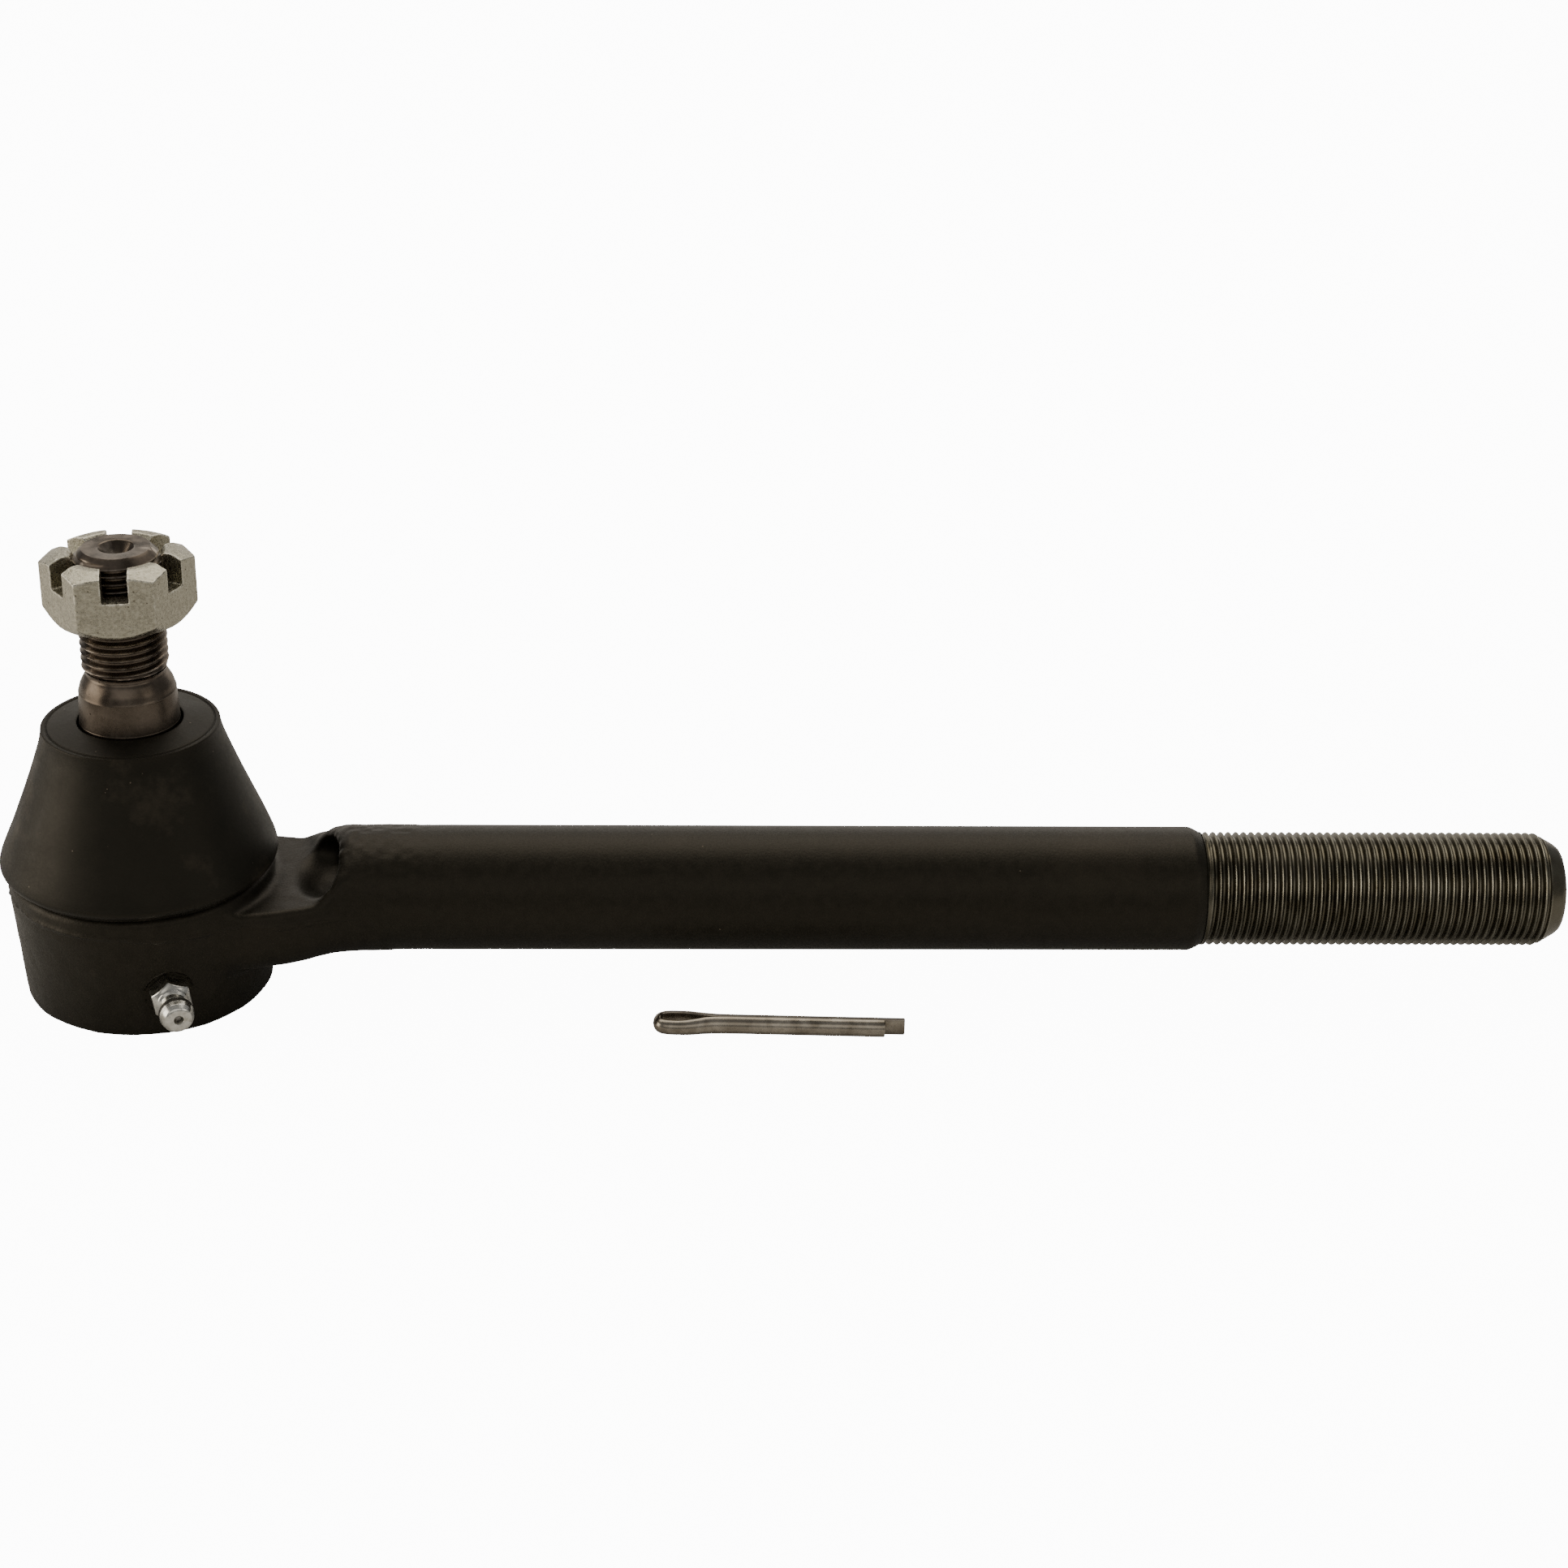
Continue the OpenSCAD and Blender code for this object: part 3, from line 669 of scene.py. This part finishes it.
def nipple(p):
    along = p[..., 0] * math.sin(NIPPLE_TURN) - p[..., 1] * math.cos(NIPPLE_TURN)
    side = p[..., 0] * math.cos(NIPPLE_TURN) + p[..., 1] * math.sin(NIPPLE_TURN)
    up = p[..., 2] - NIPPLE_Z
    r = np.hypot(side, up)
    a = side * math.cos(HEX_TURN) + up * math.sin(HEX_TURN)
    b = -side * math.sin(HEX_TURN) + up * math.cos(HEX_TURN)
    flats = [np.abs(a * math.cos(k) + b * math.sin(k)) - NIPPLE_HALF_AF for k in np.radians([0, 60, 120])]
    hexagon = cut(cut(flats[0], flats[1], 0.15), flats[2], 0.15)
    hexagon = cut(hexagon, (r - 4.15 + (along - 26.7) * 1.2) * 0.64, 0.2)
    hexagon = cut(hexagon, SPOT_X - along, 0.15)
    stem = cut((r - np.interp(along, STEM_X, STEM_R)) * 0.85, along - FACE_X, 0.3)
    stem = cut(stem, 18.2 - along, 0.2)
    mouth = np.interp(along, [32.2, 32.8, 33.9, 34.3], [1.3, 0.82, 0.78, 1.0])
    return cut(join(stem, hexagon, 0.25), mouth - r, 0.12)


low, high = (np.array(v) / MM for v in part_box("nipple_body"))
nipple_piece = skin("nipple_turned", nipple, low - 0.6, high + 0.6, 0.16)
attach(nipple_piece, "housing")
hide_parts("nipple_body")

# %% [markdown]
# A split pin is half-round wire folded back on itself: the flat faces meet, so the two
# legs together make a round pin, and the fold is left open as an eye. One leg is longer,
# so that the tips can be prised apart. The path is drawn from a few corners and softened.

# %% Split pin: path of the wire
PIN_R, PIN_X, PIN_Y, PIN_LENGTH, PIN_TURN = 1.85, 98.5, -21.0, 46.6, math.radians(-2.5)


def smooth_path(corners, step=0.25):
    """A path through the corners, softened by repeated corner cutting, then spaced evenly."""
    path = np.array(corners, float)
    for _ in range(4):
        a, b = path[:-1], path[1:]
        mid = np.stack([a * 0.75 + b * 0.25, a * 0.25 + b * 0.75], 1).reshape(-1, 2)
        path = np.vstack([path[:1], mid, path[-1:]])
    length = np.r_[0, np.cumsum(np.linalg.norm(np.diff(path, axis=0), axis=1))]
    at = np.linspace(0, length[-1], int(length[-1] / step))
    return np.stack([np.interp(at, length, path[:, k]) for k in range(2)], -1)


gap = 0.05
wire_path = smooth_path([
    (PIN_LENGTH, gap), (20, gap), (11.2, gap), (8.8, 0.35), (6.6, 1.05), (4.6, 1.5), (2.0, 1.5),
    (0.55, 1.1), (0.35, 0.0), (0.55, -1.1), (2.0, -1.5), (4.6, -1.5), (6.6, -1.05), (8.8, -0.35),
    (11.2, -gap), (20, -gap), (PIN_LENGTH - 3.8, -gap)])
print("the wire's path has", len(wire_path), "points")

# %% [markdown]
# The half-round section is carried along the path with its flat side inwards. At the fold
# the wire is pressed a little thinner.

# %% Split pin: section along the path
tangent = np.gradient(wire_path, axis=0)
tangent /= np.linalg.norm(tangent, axis=1)[:, None]
outward = np.stack([tangent[:, 1], -tangent[:, 0]], -1)
arc = np.radians(np.linspace(-90, 90, 15))
section = np.stack([PIN_R * np.cos(arc) * 0.97, PIN_R * np.sin(arc)], -1)
section = np.vstack([[(0.12, -PIN_R * 0.9)], section[1:-1], [(0.12, PIN_R * 0.9)],
                     [(0.0, PIN_R * 0.78)], [(0.0, -PIN_R * 0.78)]])
loop = np.clip((9.0 - wire_path[:, 0]) / 5.0, 0, 1)
rings = []
for k in range(len(wire_path)):
    flat = 1.0 - 0.16 * loop[k]
    x = wire_path[k, 0] + outward[k, 0] * section[:, 0] * flat
    y = wire_path[k, 1] + outward[k, 1] * section[:, 0] * flat
    rings.append(np.stack([x, y, PIN_R + section[:, 1] * flat], -1))
print("the section has", len(section), "points")

# %% [markdown]
# Wire is sheared to length, which breaks the edge of each tip. So each end is closed by a
# ring set a little back, a smaller ring and a centre point. Both legs point the same way,
# so both tips are set back the same way.

# %% Split pin: wire
TIP_BREAK, TIP_SHARE = 0.18, 0.86


def tip_rings(tip):
    """Rings from the centre point of a tip out to its broken edge."""
    middle = tip.mean(0)
    edge = tip.copy()
    edge[:, 0] -= TIP_BREAK
    return [np.repeat(middle[None], len(tip), 0), middle + (tip - middle) * TIP_SHARE, edge]


rings = np.array(tip_rings(rings[0]) + rings[1:-1] + tip_rings(rings[-1])[::-1])
n_ring, n_sec = rings.shape[:2]
row, col = np.arange(n_ring - 1)[:, None], np.arange(n_sec)[None, :]
beside = (col + 1) % n_sec
quads = np.stack([row * n_sec + col, row * n_sec + beside, (row + 1) * n_sec + beside,
                  (row + 1) * n_sec + col], -1).reshape(-1, 4)
pts = rings.reshape(-1, 3)
c, s = math.cos(PIN_TURN), math.sin(PIN_TURN)
pts = np.stack([PIN_X + pts[:, 0] * c - pts[:, 1] * s, PIN_Y + pts[:, 0] * s + pts[:, 1] * c, pts[:, 2]], -1)
pin = mesh_object("split_pin_wire", pts, quads, sharp=40)
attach(pin, "split_pin")
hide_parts("split_pin")

# %% [markdown]
# Finishes come next. Every material is made from the same few effects, so each effect is
# built once as a node group with named inputs, and each material sets its own values.
# These short helpers make groups, nodes, links and textures measured per millimetre.

# %% Helper: node groups
FLOAT = "NodeSocketFloat"


def group(name, inputs, outputs):
    tree = bpy.data.node_groups.new(name, "ShaderNodeTree")
    for label, value in inputs:
        tree.interface.new_socket(name=label, in_out="INPUT", socket_type=FLOAT).default_value = value
    for label in outputs:
        tree.interface.new_socket(name=label, in_out="OUTPUT", socket_type=FLOAT)
    return tree, tree.nodes.new("NodeGroupInput").outputs, tree.nodes.new("NodeGroupOutput").inputs


def node(tree, kind, **settings):
    made = tree.nodes.new(kind)
    for key, value in settings.items():
        if key in made.inputs:
            made.inputs[key].default_value = value
        else:
            setattr(made, key, value)
    return made


def maths(tree, kind, a, b):
    m = node(tree, "ShaderNodeMath", operation=kind)
    for k, v in enumerate((a, b)):
        if isinstance(v, (int, float)):
            m.inputs[k].default_value = v
        else:
            tree.links.new(v, m.inputs[k])
    return m.outputs[0]


def ramp(tree, source, low, high, to_low=0.0, to_high=1.0):
    m = node(tree, "ShaderNodeMapRange")
    for label, value in (("From Min", low), ("From Max", high), ("To Min", to_low), ("To Max", to_high)):
        m.inputs[label].default_value = value
    tree.links.new(source, m.inputs["Value"])
    return m.outputs["Result"]


def texture(tree, kind, per_mm, **settings):
    """A texture laid on the piece itself, with its scale taken from a socket that counts per mm."""
    made = node(tree, kind, **settings)
    place = node(tree, "ShaderNodeTexCoord")
    tree.links.new(place.outputs["Object"], made.inputs["Vector"])
    tree.links.new(maths(tree, "MULTIPLY", per_mm, 1000.0), made.inputs["Scale"])
    return made


print("node groups so far:", len(bpy.data.node_groups))

# %% [markdown]
# Grain is the texture left by scale, plating or moulding: coarse and fine noise, measured
# per millimetre. It gives a height for bump and an even value for colour.

# %% Grain
grain, given, gives = group("Grain", [("Coarse per mm", 0.5), ("Fine per mm", 3.0), ("Fine share", 0.5)],
                            ["Height", "Value"])
coarse = texture(grain, "ShaderNodeTexNoise", given["Coarse per mm"], Detail=3.0, Roughness=0.6)
fine = texture(grain, "ShaderNodeTexNoise", given["Fine per mm"], Detail=4.0, Roughness=0.6)
mixed = node(grain, "ShaderNodeMix")
grain.links.new(given["Fine share"], mixed.inputs["Factor"])
grain.links.new(coarse.outputs["Fac"], mixed.inputs["A"])
grain.links.new(fine.outputs["Fac"], mixed.inputs["B"])
grain.links.new(mixed.outputs["Result"], gives["Height"])
grain.links.new(coarse.outputs["Fac"], gives["Value"])
print("grain has", len(grain.nodes), "nodes")

# %% [markdown]
# Edge wear: handling polishes raised edges first, and never evenly. Pointiness finds the
# edges, and noise breaks the mask up.

# %% Edge wear
wear, given, gives = group(
    "Edge wear", [("Start", 0.52), ("Full", 0.6), ("Break up per mm", 0.8), ("Amount", 1.0)], ["Mask"])
geometry = node(wear, "ShaderNodeNewGeometry")
cloud = texture(wear, "ShaderNodeTexNoise", given["Break up per mm"], Detail=4.0)
edge = node(wear, "ShaderNodeMapRange")
wear.links.new(geometry.outputs["Pointiness"], edge.inputs["Value"])
wear.links.new(given["Start"], edge.inputs["From Min"])
wear.links.new(given["Full"], edge.inputs["From Max"])
broken = maths(wear, "MULTIPLY", edge.outputs["Result"], ramp(wear, cloud.outputs["Fac"], 0.35, 0.65))
wear.links.new(maths(wear, "MULTIPLY", broken, given["Amount"]), gives["Mask"])
print("edge wear has", len(wear.nodes), "nodes")

# %% [markdown]
# Specks: sparse small dots, such as chips in a coat, dust on rubber or pits in zinc. Each
# Voronoi cell may hold one dot, and only a share of the cells is chosen.

# %% Specks
specks, given, gives = group("Specks", [("Per mm", 0.2), ("Size", 0.1), ("Share", 0.3)], ["Mask"])
cells = texture(specks, "ShaderNodeTexVoronoi", given["Per mm"], Randomness=1.0)
near = maths(specks, "LESS_THAN", cells.outputs["Distance"], given["Size"])
pick = node(specks, "ShaderNodeSeparateColor")
specks.links.new(cells.outputs["Color"], pick.inputs["Color"])
chosen = maths(specks, "LESS_THAN", pick.outputs["Red"], given["Share"])
specks.links.new(maths(specks, "MULTIPLY", near, chosen), gives["Mask"])
print("specks have", len(specks.nodes), "nodes")

# %% [markdown]
# Smudges: cloudy patches of dust, dried oil or hand marks. They may gather on faces that
# look up.

# %% Smudges
smudge, given, gives = group(
    "Smudges", [("Per mm", 0.05), ("Threshold", 0.55), ("Softness", 0.15), ("Upward", 0.5)], ["Mask"])
cloud = texture(smudge, "ShaderNodeTexNoise", given["Per mm"], Detail=6.0, Roughness=0.62)
facing = node(smudge, "ShaderNodeNewGeometry")
split = node(smudge, "ShaderNodeSeparateXYZ")
smudge.links.new(facing.outputs["Normal"], split.inputs["Vector"])
lift = maths(smudge, "MULTIPLY", split.outputs["Z"], given["Upward"])
level = maths(smudge, "ADD", cloud.outputs["Fac"], maths(smudge, "MULTIPLY", lift, 0.2))
patch = maths(smudge, "DIVIDE", maths(smudge, "SUBTRACT", level, given["Threshold"]), given["Softness"])
kept = node(smudge, "ShaderNodeClamp")
smudge.links.new(patch, kept.inputs["Value"])
smudge.links.new(kept.outputs["Result"], gives["Mask"])
print("node groups:", [g.name for g in bpy.data.node_groups])

# %% [markdown]
# Every finish here has the same skeleton: two close base colours mixed by the grain, then
# layers of wear, specks or smudges over them, a roughness that follows the grain, and a
# bump. Constants that describe the substance itself are set on the shader's own sockets.

# %% Helper: a finish from base colours and layers
def use(tree, shared, values):
    n = node(tree, "ShaderNodeGroup")
    n.node_tree = shared
    for key, value in values.items():
        n.inputs[key].default_value = value
    return n


def tint(tree, mask, below, above):
    """Mixes two colours, or a colour socket and a colour, by a mask."""
    m = node(tree, "ShaderNodeMix", data_type="RGBA")
    tree.links.new(mask, m.inputs["Factor"])
    for socket, value in ((m.inputs[6], below), (m.inputs[7], above)):
        if isinstance(value, tuple):
            socket.default_value = (*value, 1)
        else:
            tree.links.new(value, socket)
    return m.outputs[2]


def finish(name, colours, metal, rough, grains, height_mm, layers=(), **sockets):
    """A material. grains is coarse per mm, fine per mm, fine share; layers are (group, values, colour)."""
    m = bpy.data.materials.new(name)
    m.use_nodes = True
    t = m.node_tree
    s = t.nodes["Principled BSDF"]
    s.inputs["Metallic"].default_value = metal
    for key, value in sockets.items():
        s.inputs[key.replace("_", " ")].default_value = value
    g = use(t, grain, dict(zip(("Coarse per mm", "Fine per mm", "Fine share"), grains)))
    base = tint(t, ramp(t, g.outputs["Value"], 0.35, 0.65), *colours)
    for shared, values, colour in layers:
        base = tint(t, use(t, shared, values).outputs["Mask"], base, colour)
    t.links.new(base, s.inputs["Base Color"])
    t.links.new(ramp(t, g.outputs["Height"], 0.3, 0.7, *rough), s.inputs["Roughness"])
    b = node(t, "ShaderNodeBump", Strength=0.6, Distance=height_mm * MM)
    t.links.new(g.outputs["Height"], b.inputs["Height"])
    t.links.new(b.outputs["Normal"], s.inputs["Normal"])
    print("finish", name, "with", len(layers), "layers")
    return m


def paint(made, *pieces):
    for piece in pieces:
        piece.data.materials.clear()
        piece.data.materials.append(made)


print("materials so far:", len(bpy.data.materials))

# %% [markdown]
# The forging is black over steel: a thin dark coat that follows the grain of the scale
# beneath it, faintly brown where light grazes it, rubbed on its edges, with a few pale
# chips. It isn't a metal to the shader, because the coat hides the steel, so it stays
# dark.

# %% Black forging
WARM = (1.0, 0.88, 0.7, 1.0)
black = finish(
    "black_forging", ((0.0055, 0.0052, 0.0036), (0.0105, 0.0095, 0.0068)), metal=0.0, rough=(0.36, 0.5),
    grains=(0.5, 2.4, 0.6), height_mm=0.16, layers=[
        (smudge, {"Per mm": 0.035, "Threshold": 0.58, "Softness": 0.2, "Upward": 0.3},
         (0.018, 0.015, 0.0105)),
        (wear, {"Start": 0.515, "Full": 0.56, "Break up per mm": 0.7, "Amount": 0.35}, (0.045, 0.036, 0.025)),
        (specks, {"Per mm": 0.3, "Size": 0.05, "Share": 0.15}, (0.09, 0.075, 0.055))],
    Specular_IOR_Level=0.3, Specular_Tint=WARM)
paint(black, housing, shank_bar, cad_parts["closing_cap"])

# %% [markdown]
# The shank's thread was cut after the black coat went on, so it is bare steel, dark with
# oil. The film has straw and olive tints, and the crests are rubbed bright.

# %% Bare thread steel
bare = finish(
    "bare_thread_steel", ((0.095, 0.085, 0.058), (0.155, 0.145, 0.112)), metal=1.0, rough=(0.2, 0.36),
    grains=(0.12, 1.6, 0.4), height_mm=0.02, layers=[
        (wear, {"Start": 0.5, "Full": 0.57, "Break up per mm": 0.25, "Amount": 0.85}, (0.36, 0.345, 0.28)),
        (smudge, {"Per mm": 0.08, "Threshold": 0.6, "Softness": 0.2, "Upward": 0.0}, (0.07, 0.055, 0.03))])
paint(bare, shank_thread)

# %% [markdown]
# The stud is hardened steel with a brown-grey film from heat treatment and oil. The band
# above the taper and the crests of the thread are polished by handling, and the rest
# stays mottled.

# %% Stud steel
steel = finish(
    "stud_steel", ((0.08, 0.064, 0.05), (0.15, 0.124, 0.1)), metal=1.0, rough=(0.22, 0.4),
    grains=(0.2, 2.0, 0.4), height_mm=0.02, layers=[
        (wear, {"Start": 0.512, "Full": 0.56, "Break up per mm": 0.4, "Amount": 0.85}, (0.5, 0.43, 0.36)),
        (specks, {"Per mm": 0.5, "Size": 0.1, "Share": 0.12}, (0.04, 0.03, 0.022))])
paint(steel, stud)

# %% [markdown]
# The castle nut is zinc plated with a faint yellow-green passivation. Barrel plating
# leaves a fine pitted skin on the flats and shiny, knocked edges. The pits need noise of
# about half a millimetre, small enough to sparkle but large enough to see.

# %% Zinc on the castle nut
zinc = finish(
    "zinc", ((0.34, 0.32, 0.25), (0.52, 0.495, 0.40)), metal=1.0, rough=(0.22, 0.38),
    grains=(1.7, 3.4, 0.35), height_mm=0.2, layers=[
        (specks, {"Per mm": 0.9, "Size": 0.16, "Share": 0.3}, (0.19, 0.17, 0.125)),
        (wear, {"Start": 0.507, "Full": 0.54, "Break up per mm": 1.0, "Amount": 0.9}, (0.85, 0.82, 0.71))])
paint(zinc, nut)

# %% [markdown]
# The nipple has a brighter, smoother plating than the nut, almost a mirror, with a
# slightly darker film in small scattered patches.

# %% Bright zinc on the nipple
bright = finish(
    "bright_zinc", ((0.60, 0.59, 0.54), (0.8, 0.79, 0.74)), metal=1.0, rough=(0.16, 0.3),
    grains=(1.0, 6.0, 0.4), height_mm=0.01, layers=[
        (smudge, {"Per mm": 0.6, "Threshold": 0.58, "Softness": 0.2, "Upward": 0.0}, (0.4, 0.38, 0.31))])
paint(bright, nipple_piece)

# %% [markdown]
# The boot is black rubber with a satin skin from the mould. It picks up pale smudges
# where it was handled, and a little dust. Rubber has a weak, wide highlight, so roughness
# is high and the specular level low.

# %% Boot rubber
rubber = finish(
    "boot_rubber", ((0.0045, 0.0046, 0.0034), (0.008, 0.0075, 0.0056)), metal=0.0, rough=(0.4, 0.56),
    grains=(0.15, 1.4, 0.35), height_mm=0.05, layers=[
        (smudge, {"Per mm": 0.07, "Threshold": 0.55, "Softness": 0.15, "Upward": 0.0}, (0.036, 0.030, 0.022)),
        (specks, {"Per mm": 0.45, "Size": 0.07, "Share": 0.2}, (0.1, 0.085, 0.065))],
    Specular_IOR_Level=0.28, Specular_Tint=WARM)
paint(rubber, boot)

# %% [markdown]
# The split pin is soft steel wire, plain and bright, drawn smooth and a little warm with
# oil.

# %% Split pin steel
wire = finish(
    "pin_steel", ((0.24, 0.21, 0.165), (0.44, 0.40, 0.335)), metal=1.0, rough=(0.2, 0.34),
    grains=(0.3, 3.0, 0.5), height_mm=0.015, layers=[
        (smudge, {"Per mm": 0.15, "Threshold": 0.55, "Softness": 0.2, "Upward": 0.0}, (0.17, 0.14, 0.1))])
paint(wire, pin)

# %% [markdown]
# The pieces inside keep the solid model's own shapes: races, springs, rings and the check
# ball. They still get a real finish, because they show when the joint is opened. The
# races are a slippery off-white resin, the springs and rings plain spring steel.

# %% Inner pieces
resin = finish("race_resin", ((0.74, 0.70, 0.60), (0.84, 0.81, 0.73)), metal=0.0, rough=(0.34, 0.5),
               grains=(0.2, 1.5, 0.4), height_mm=0.03)
spring = finish("spring_steel", ((0.2, 0.19, 0.18), (0.36, 0.35, 0.33)), metal=1.0, rough=(0.22, 0.4),
                grains=(0.6, 4.0, 0.5), height_mm=0.02)
paint(resin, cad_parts["lower_race"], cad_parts["upper_race"])
paint(spring, *(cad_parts[name] for name in
                ("preload_spring", "boot_foot_ring", "boot_top_ring", "nipple_ball", "nipple_spring")))

# %% [markdown]
# The set is a sheet of pale paper, plain white to the camera. White paper that bright
# would throw too much light up on the part, so it glows for the camera alone. It is clear
# from below, so that the part's underside can be looked at too.

# %% Floor
PAPER_GLOW = 12.0
bpy.ops.mesh.primitive_plane_add(size=8, location=(0.12, 0.5, -0.0003))
floor = bpy.context.object
floor.name = "floor"
paper = finish("floor_paper", ((0.72, 0.71, 0.69), (0.78, 0.77, 0.75)), metal=0.0, rough=(0.75, 0.85),
               grains=(0.01, 0.5, 0.3), height_mm=0.02,
               Specular_IOR_Level=0.1, Emission_Color=(1.0, 1.0, 1.0, 1.0))
tree = paper.node_tree
shader = tree.nodes["Principled BSDF"]
seen = node(tree, "ShaderNodeLightPath")
glow = maths(tree, "MULTIPLY", seen.outputs["Is Camera Ray"], PAPER_GLOW)
tree.links.new(glow, shader.inputs["Emission Strength"])
below = node(tree, "ShaderNodeNewGeometry")
tree.links.new(maths(tree, "SUBTRACT", 1.0, below.outputs["Backfacing"]), shader.inputs["Alpha"])
paint(paper, floor)

# %% [markdown]
# Dark parts are drawn by what they reflect. One large soft light above and behind runs a
# long highlight along the shank, a low one behind edges it, and weak ones in front and at
# the sides keep the nut and the eye from going black. All are slightly warm.

# %% Light
world = bpy.data.worlds.new("studio")
bpy.context.scene.world = world
world.use_nodes = True
world.node_tree.nodes["Background"].inputs["Color"].default_value = (1.0, 1.0, 1.0, 1)
world.node_tree.nodes["Background"].inputs["Strength"].default_value = 0.2
LIGHTS = [("top_soft", (0.05, 0.38, 0.78), (1.2, 0.7), 5.0, (1.0, 0.93, 0.82)),
          ("back_soft", (0.1, 1.1, 0.25), (1.8, 0.5), 2.6, (1.0, 0.93, 0.82)),
          ("front_fill", (0.1, -0.9, 0.55), (1.2, 0.5), 1.2, (1.0, 0.94, 0.85)),
          ("left_soft", (-0.6, -0.1, 0.2), (0.5, 0.4), 2.1, (1.0, 0.92, 0.8)),
          ("right_soft", (0.6, -0.35, 0.3), (0.3, 0.3), 0.3, (1.0, 0.93, 0.82))]
aim = Vector((0.1, 0, 0.03))
for name, at, size, power, colour in LIGHTS:
    lamp = bpy.data.lights.new(name, "AREA")
    lamp.shape, lamp.size, lamp.size_y = "RECTANGLE", size[0], size[1]
    lamp.energy, lamp.color = power, colour
    holder = bpy.data.objects.new(name, lamp)
    holder.location = at
    holder.rotation_euler = (aim - Vector(at)).to_track_quat("-Z", "Y").to_euler()
    bpy.context.scene.collection.objects.link(holder)
    print("light", name, "of", power, "W")

# %% [markdown]
# The camera looks down at about 27 degrees from the front, close enough that the head of
# the part looks larger than its far end. It is aimed at the middle of the shank, and its
# slight turn and roll are what a hand-placed camera has.

# %% Camera
PITCH_DOWN, YAW, ROLL = math.radians(26.61), math.radians(2.76), math.radians(-1.43)
DISTANCE, RAISE, MIDDLE = 570.0, 20.0, Vector((122.1, 0, 19.5))
LENS, SENSOR_WIDTH = 67.7, 36
right = Vector((math.cos(YAW), -math.sin(YAW), 0))
ahead = Vector((math.sin(YAW) * math.cos(PITCH_DOWN), math.cos(YAW) * math.cos(PITCH_DOWN),
                -math.sin(PITCH_DOWN)))
above = Vector((math.sin(YAW) * math.sin(PITCH_DOWN), math.cos(YAW) * math.sin(PITCH_DOWN),
                math.cos(PITCH_DOWN)))
eye_at = (MIDDLE - DISTANCE * ahead + RAISE * above) * MM
right, above = (math.cos(ROLL) * right - math.sin(ROLL) * above,
                math.sin(ROLL) * right + math.cos(ROLL) * above)
pose = Matrix((right, above, -ahead)).transposed().to_4x4()
pose.translation = eye_at
camera_data = bpy.data.cameras.new("camera")
camera_data.lens, camera_data.sensor_width = LENS, SENSOR_WIDTH
camera_data.clip_start = 0.01
camera = bpy.data.objects.new("camera", camera_data)
camera.matrix_world = pose
bpy.context.scene.collection.objects.link(camera)
bpy.context.scene.camera = camera
print("camera at", [round(v / MM) for v in eye_at], "mm")
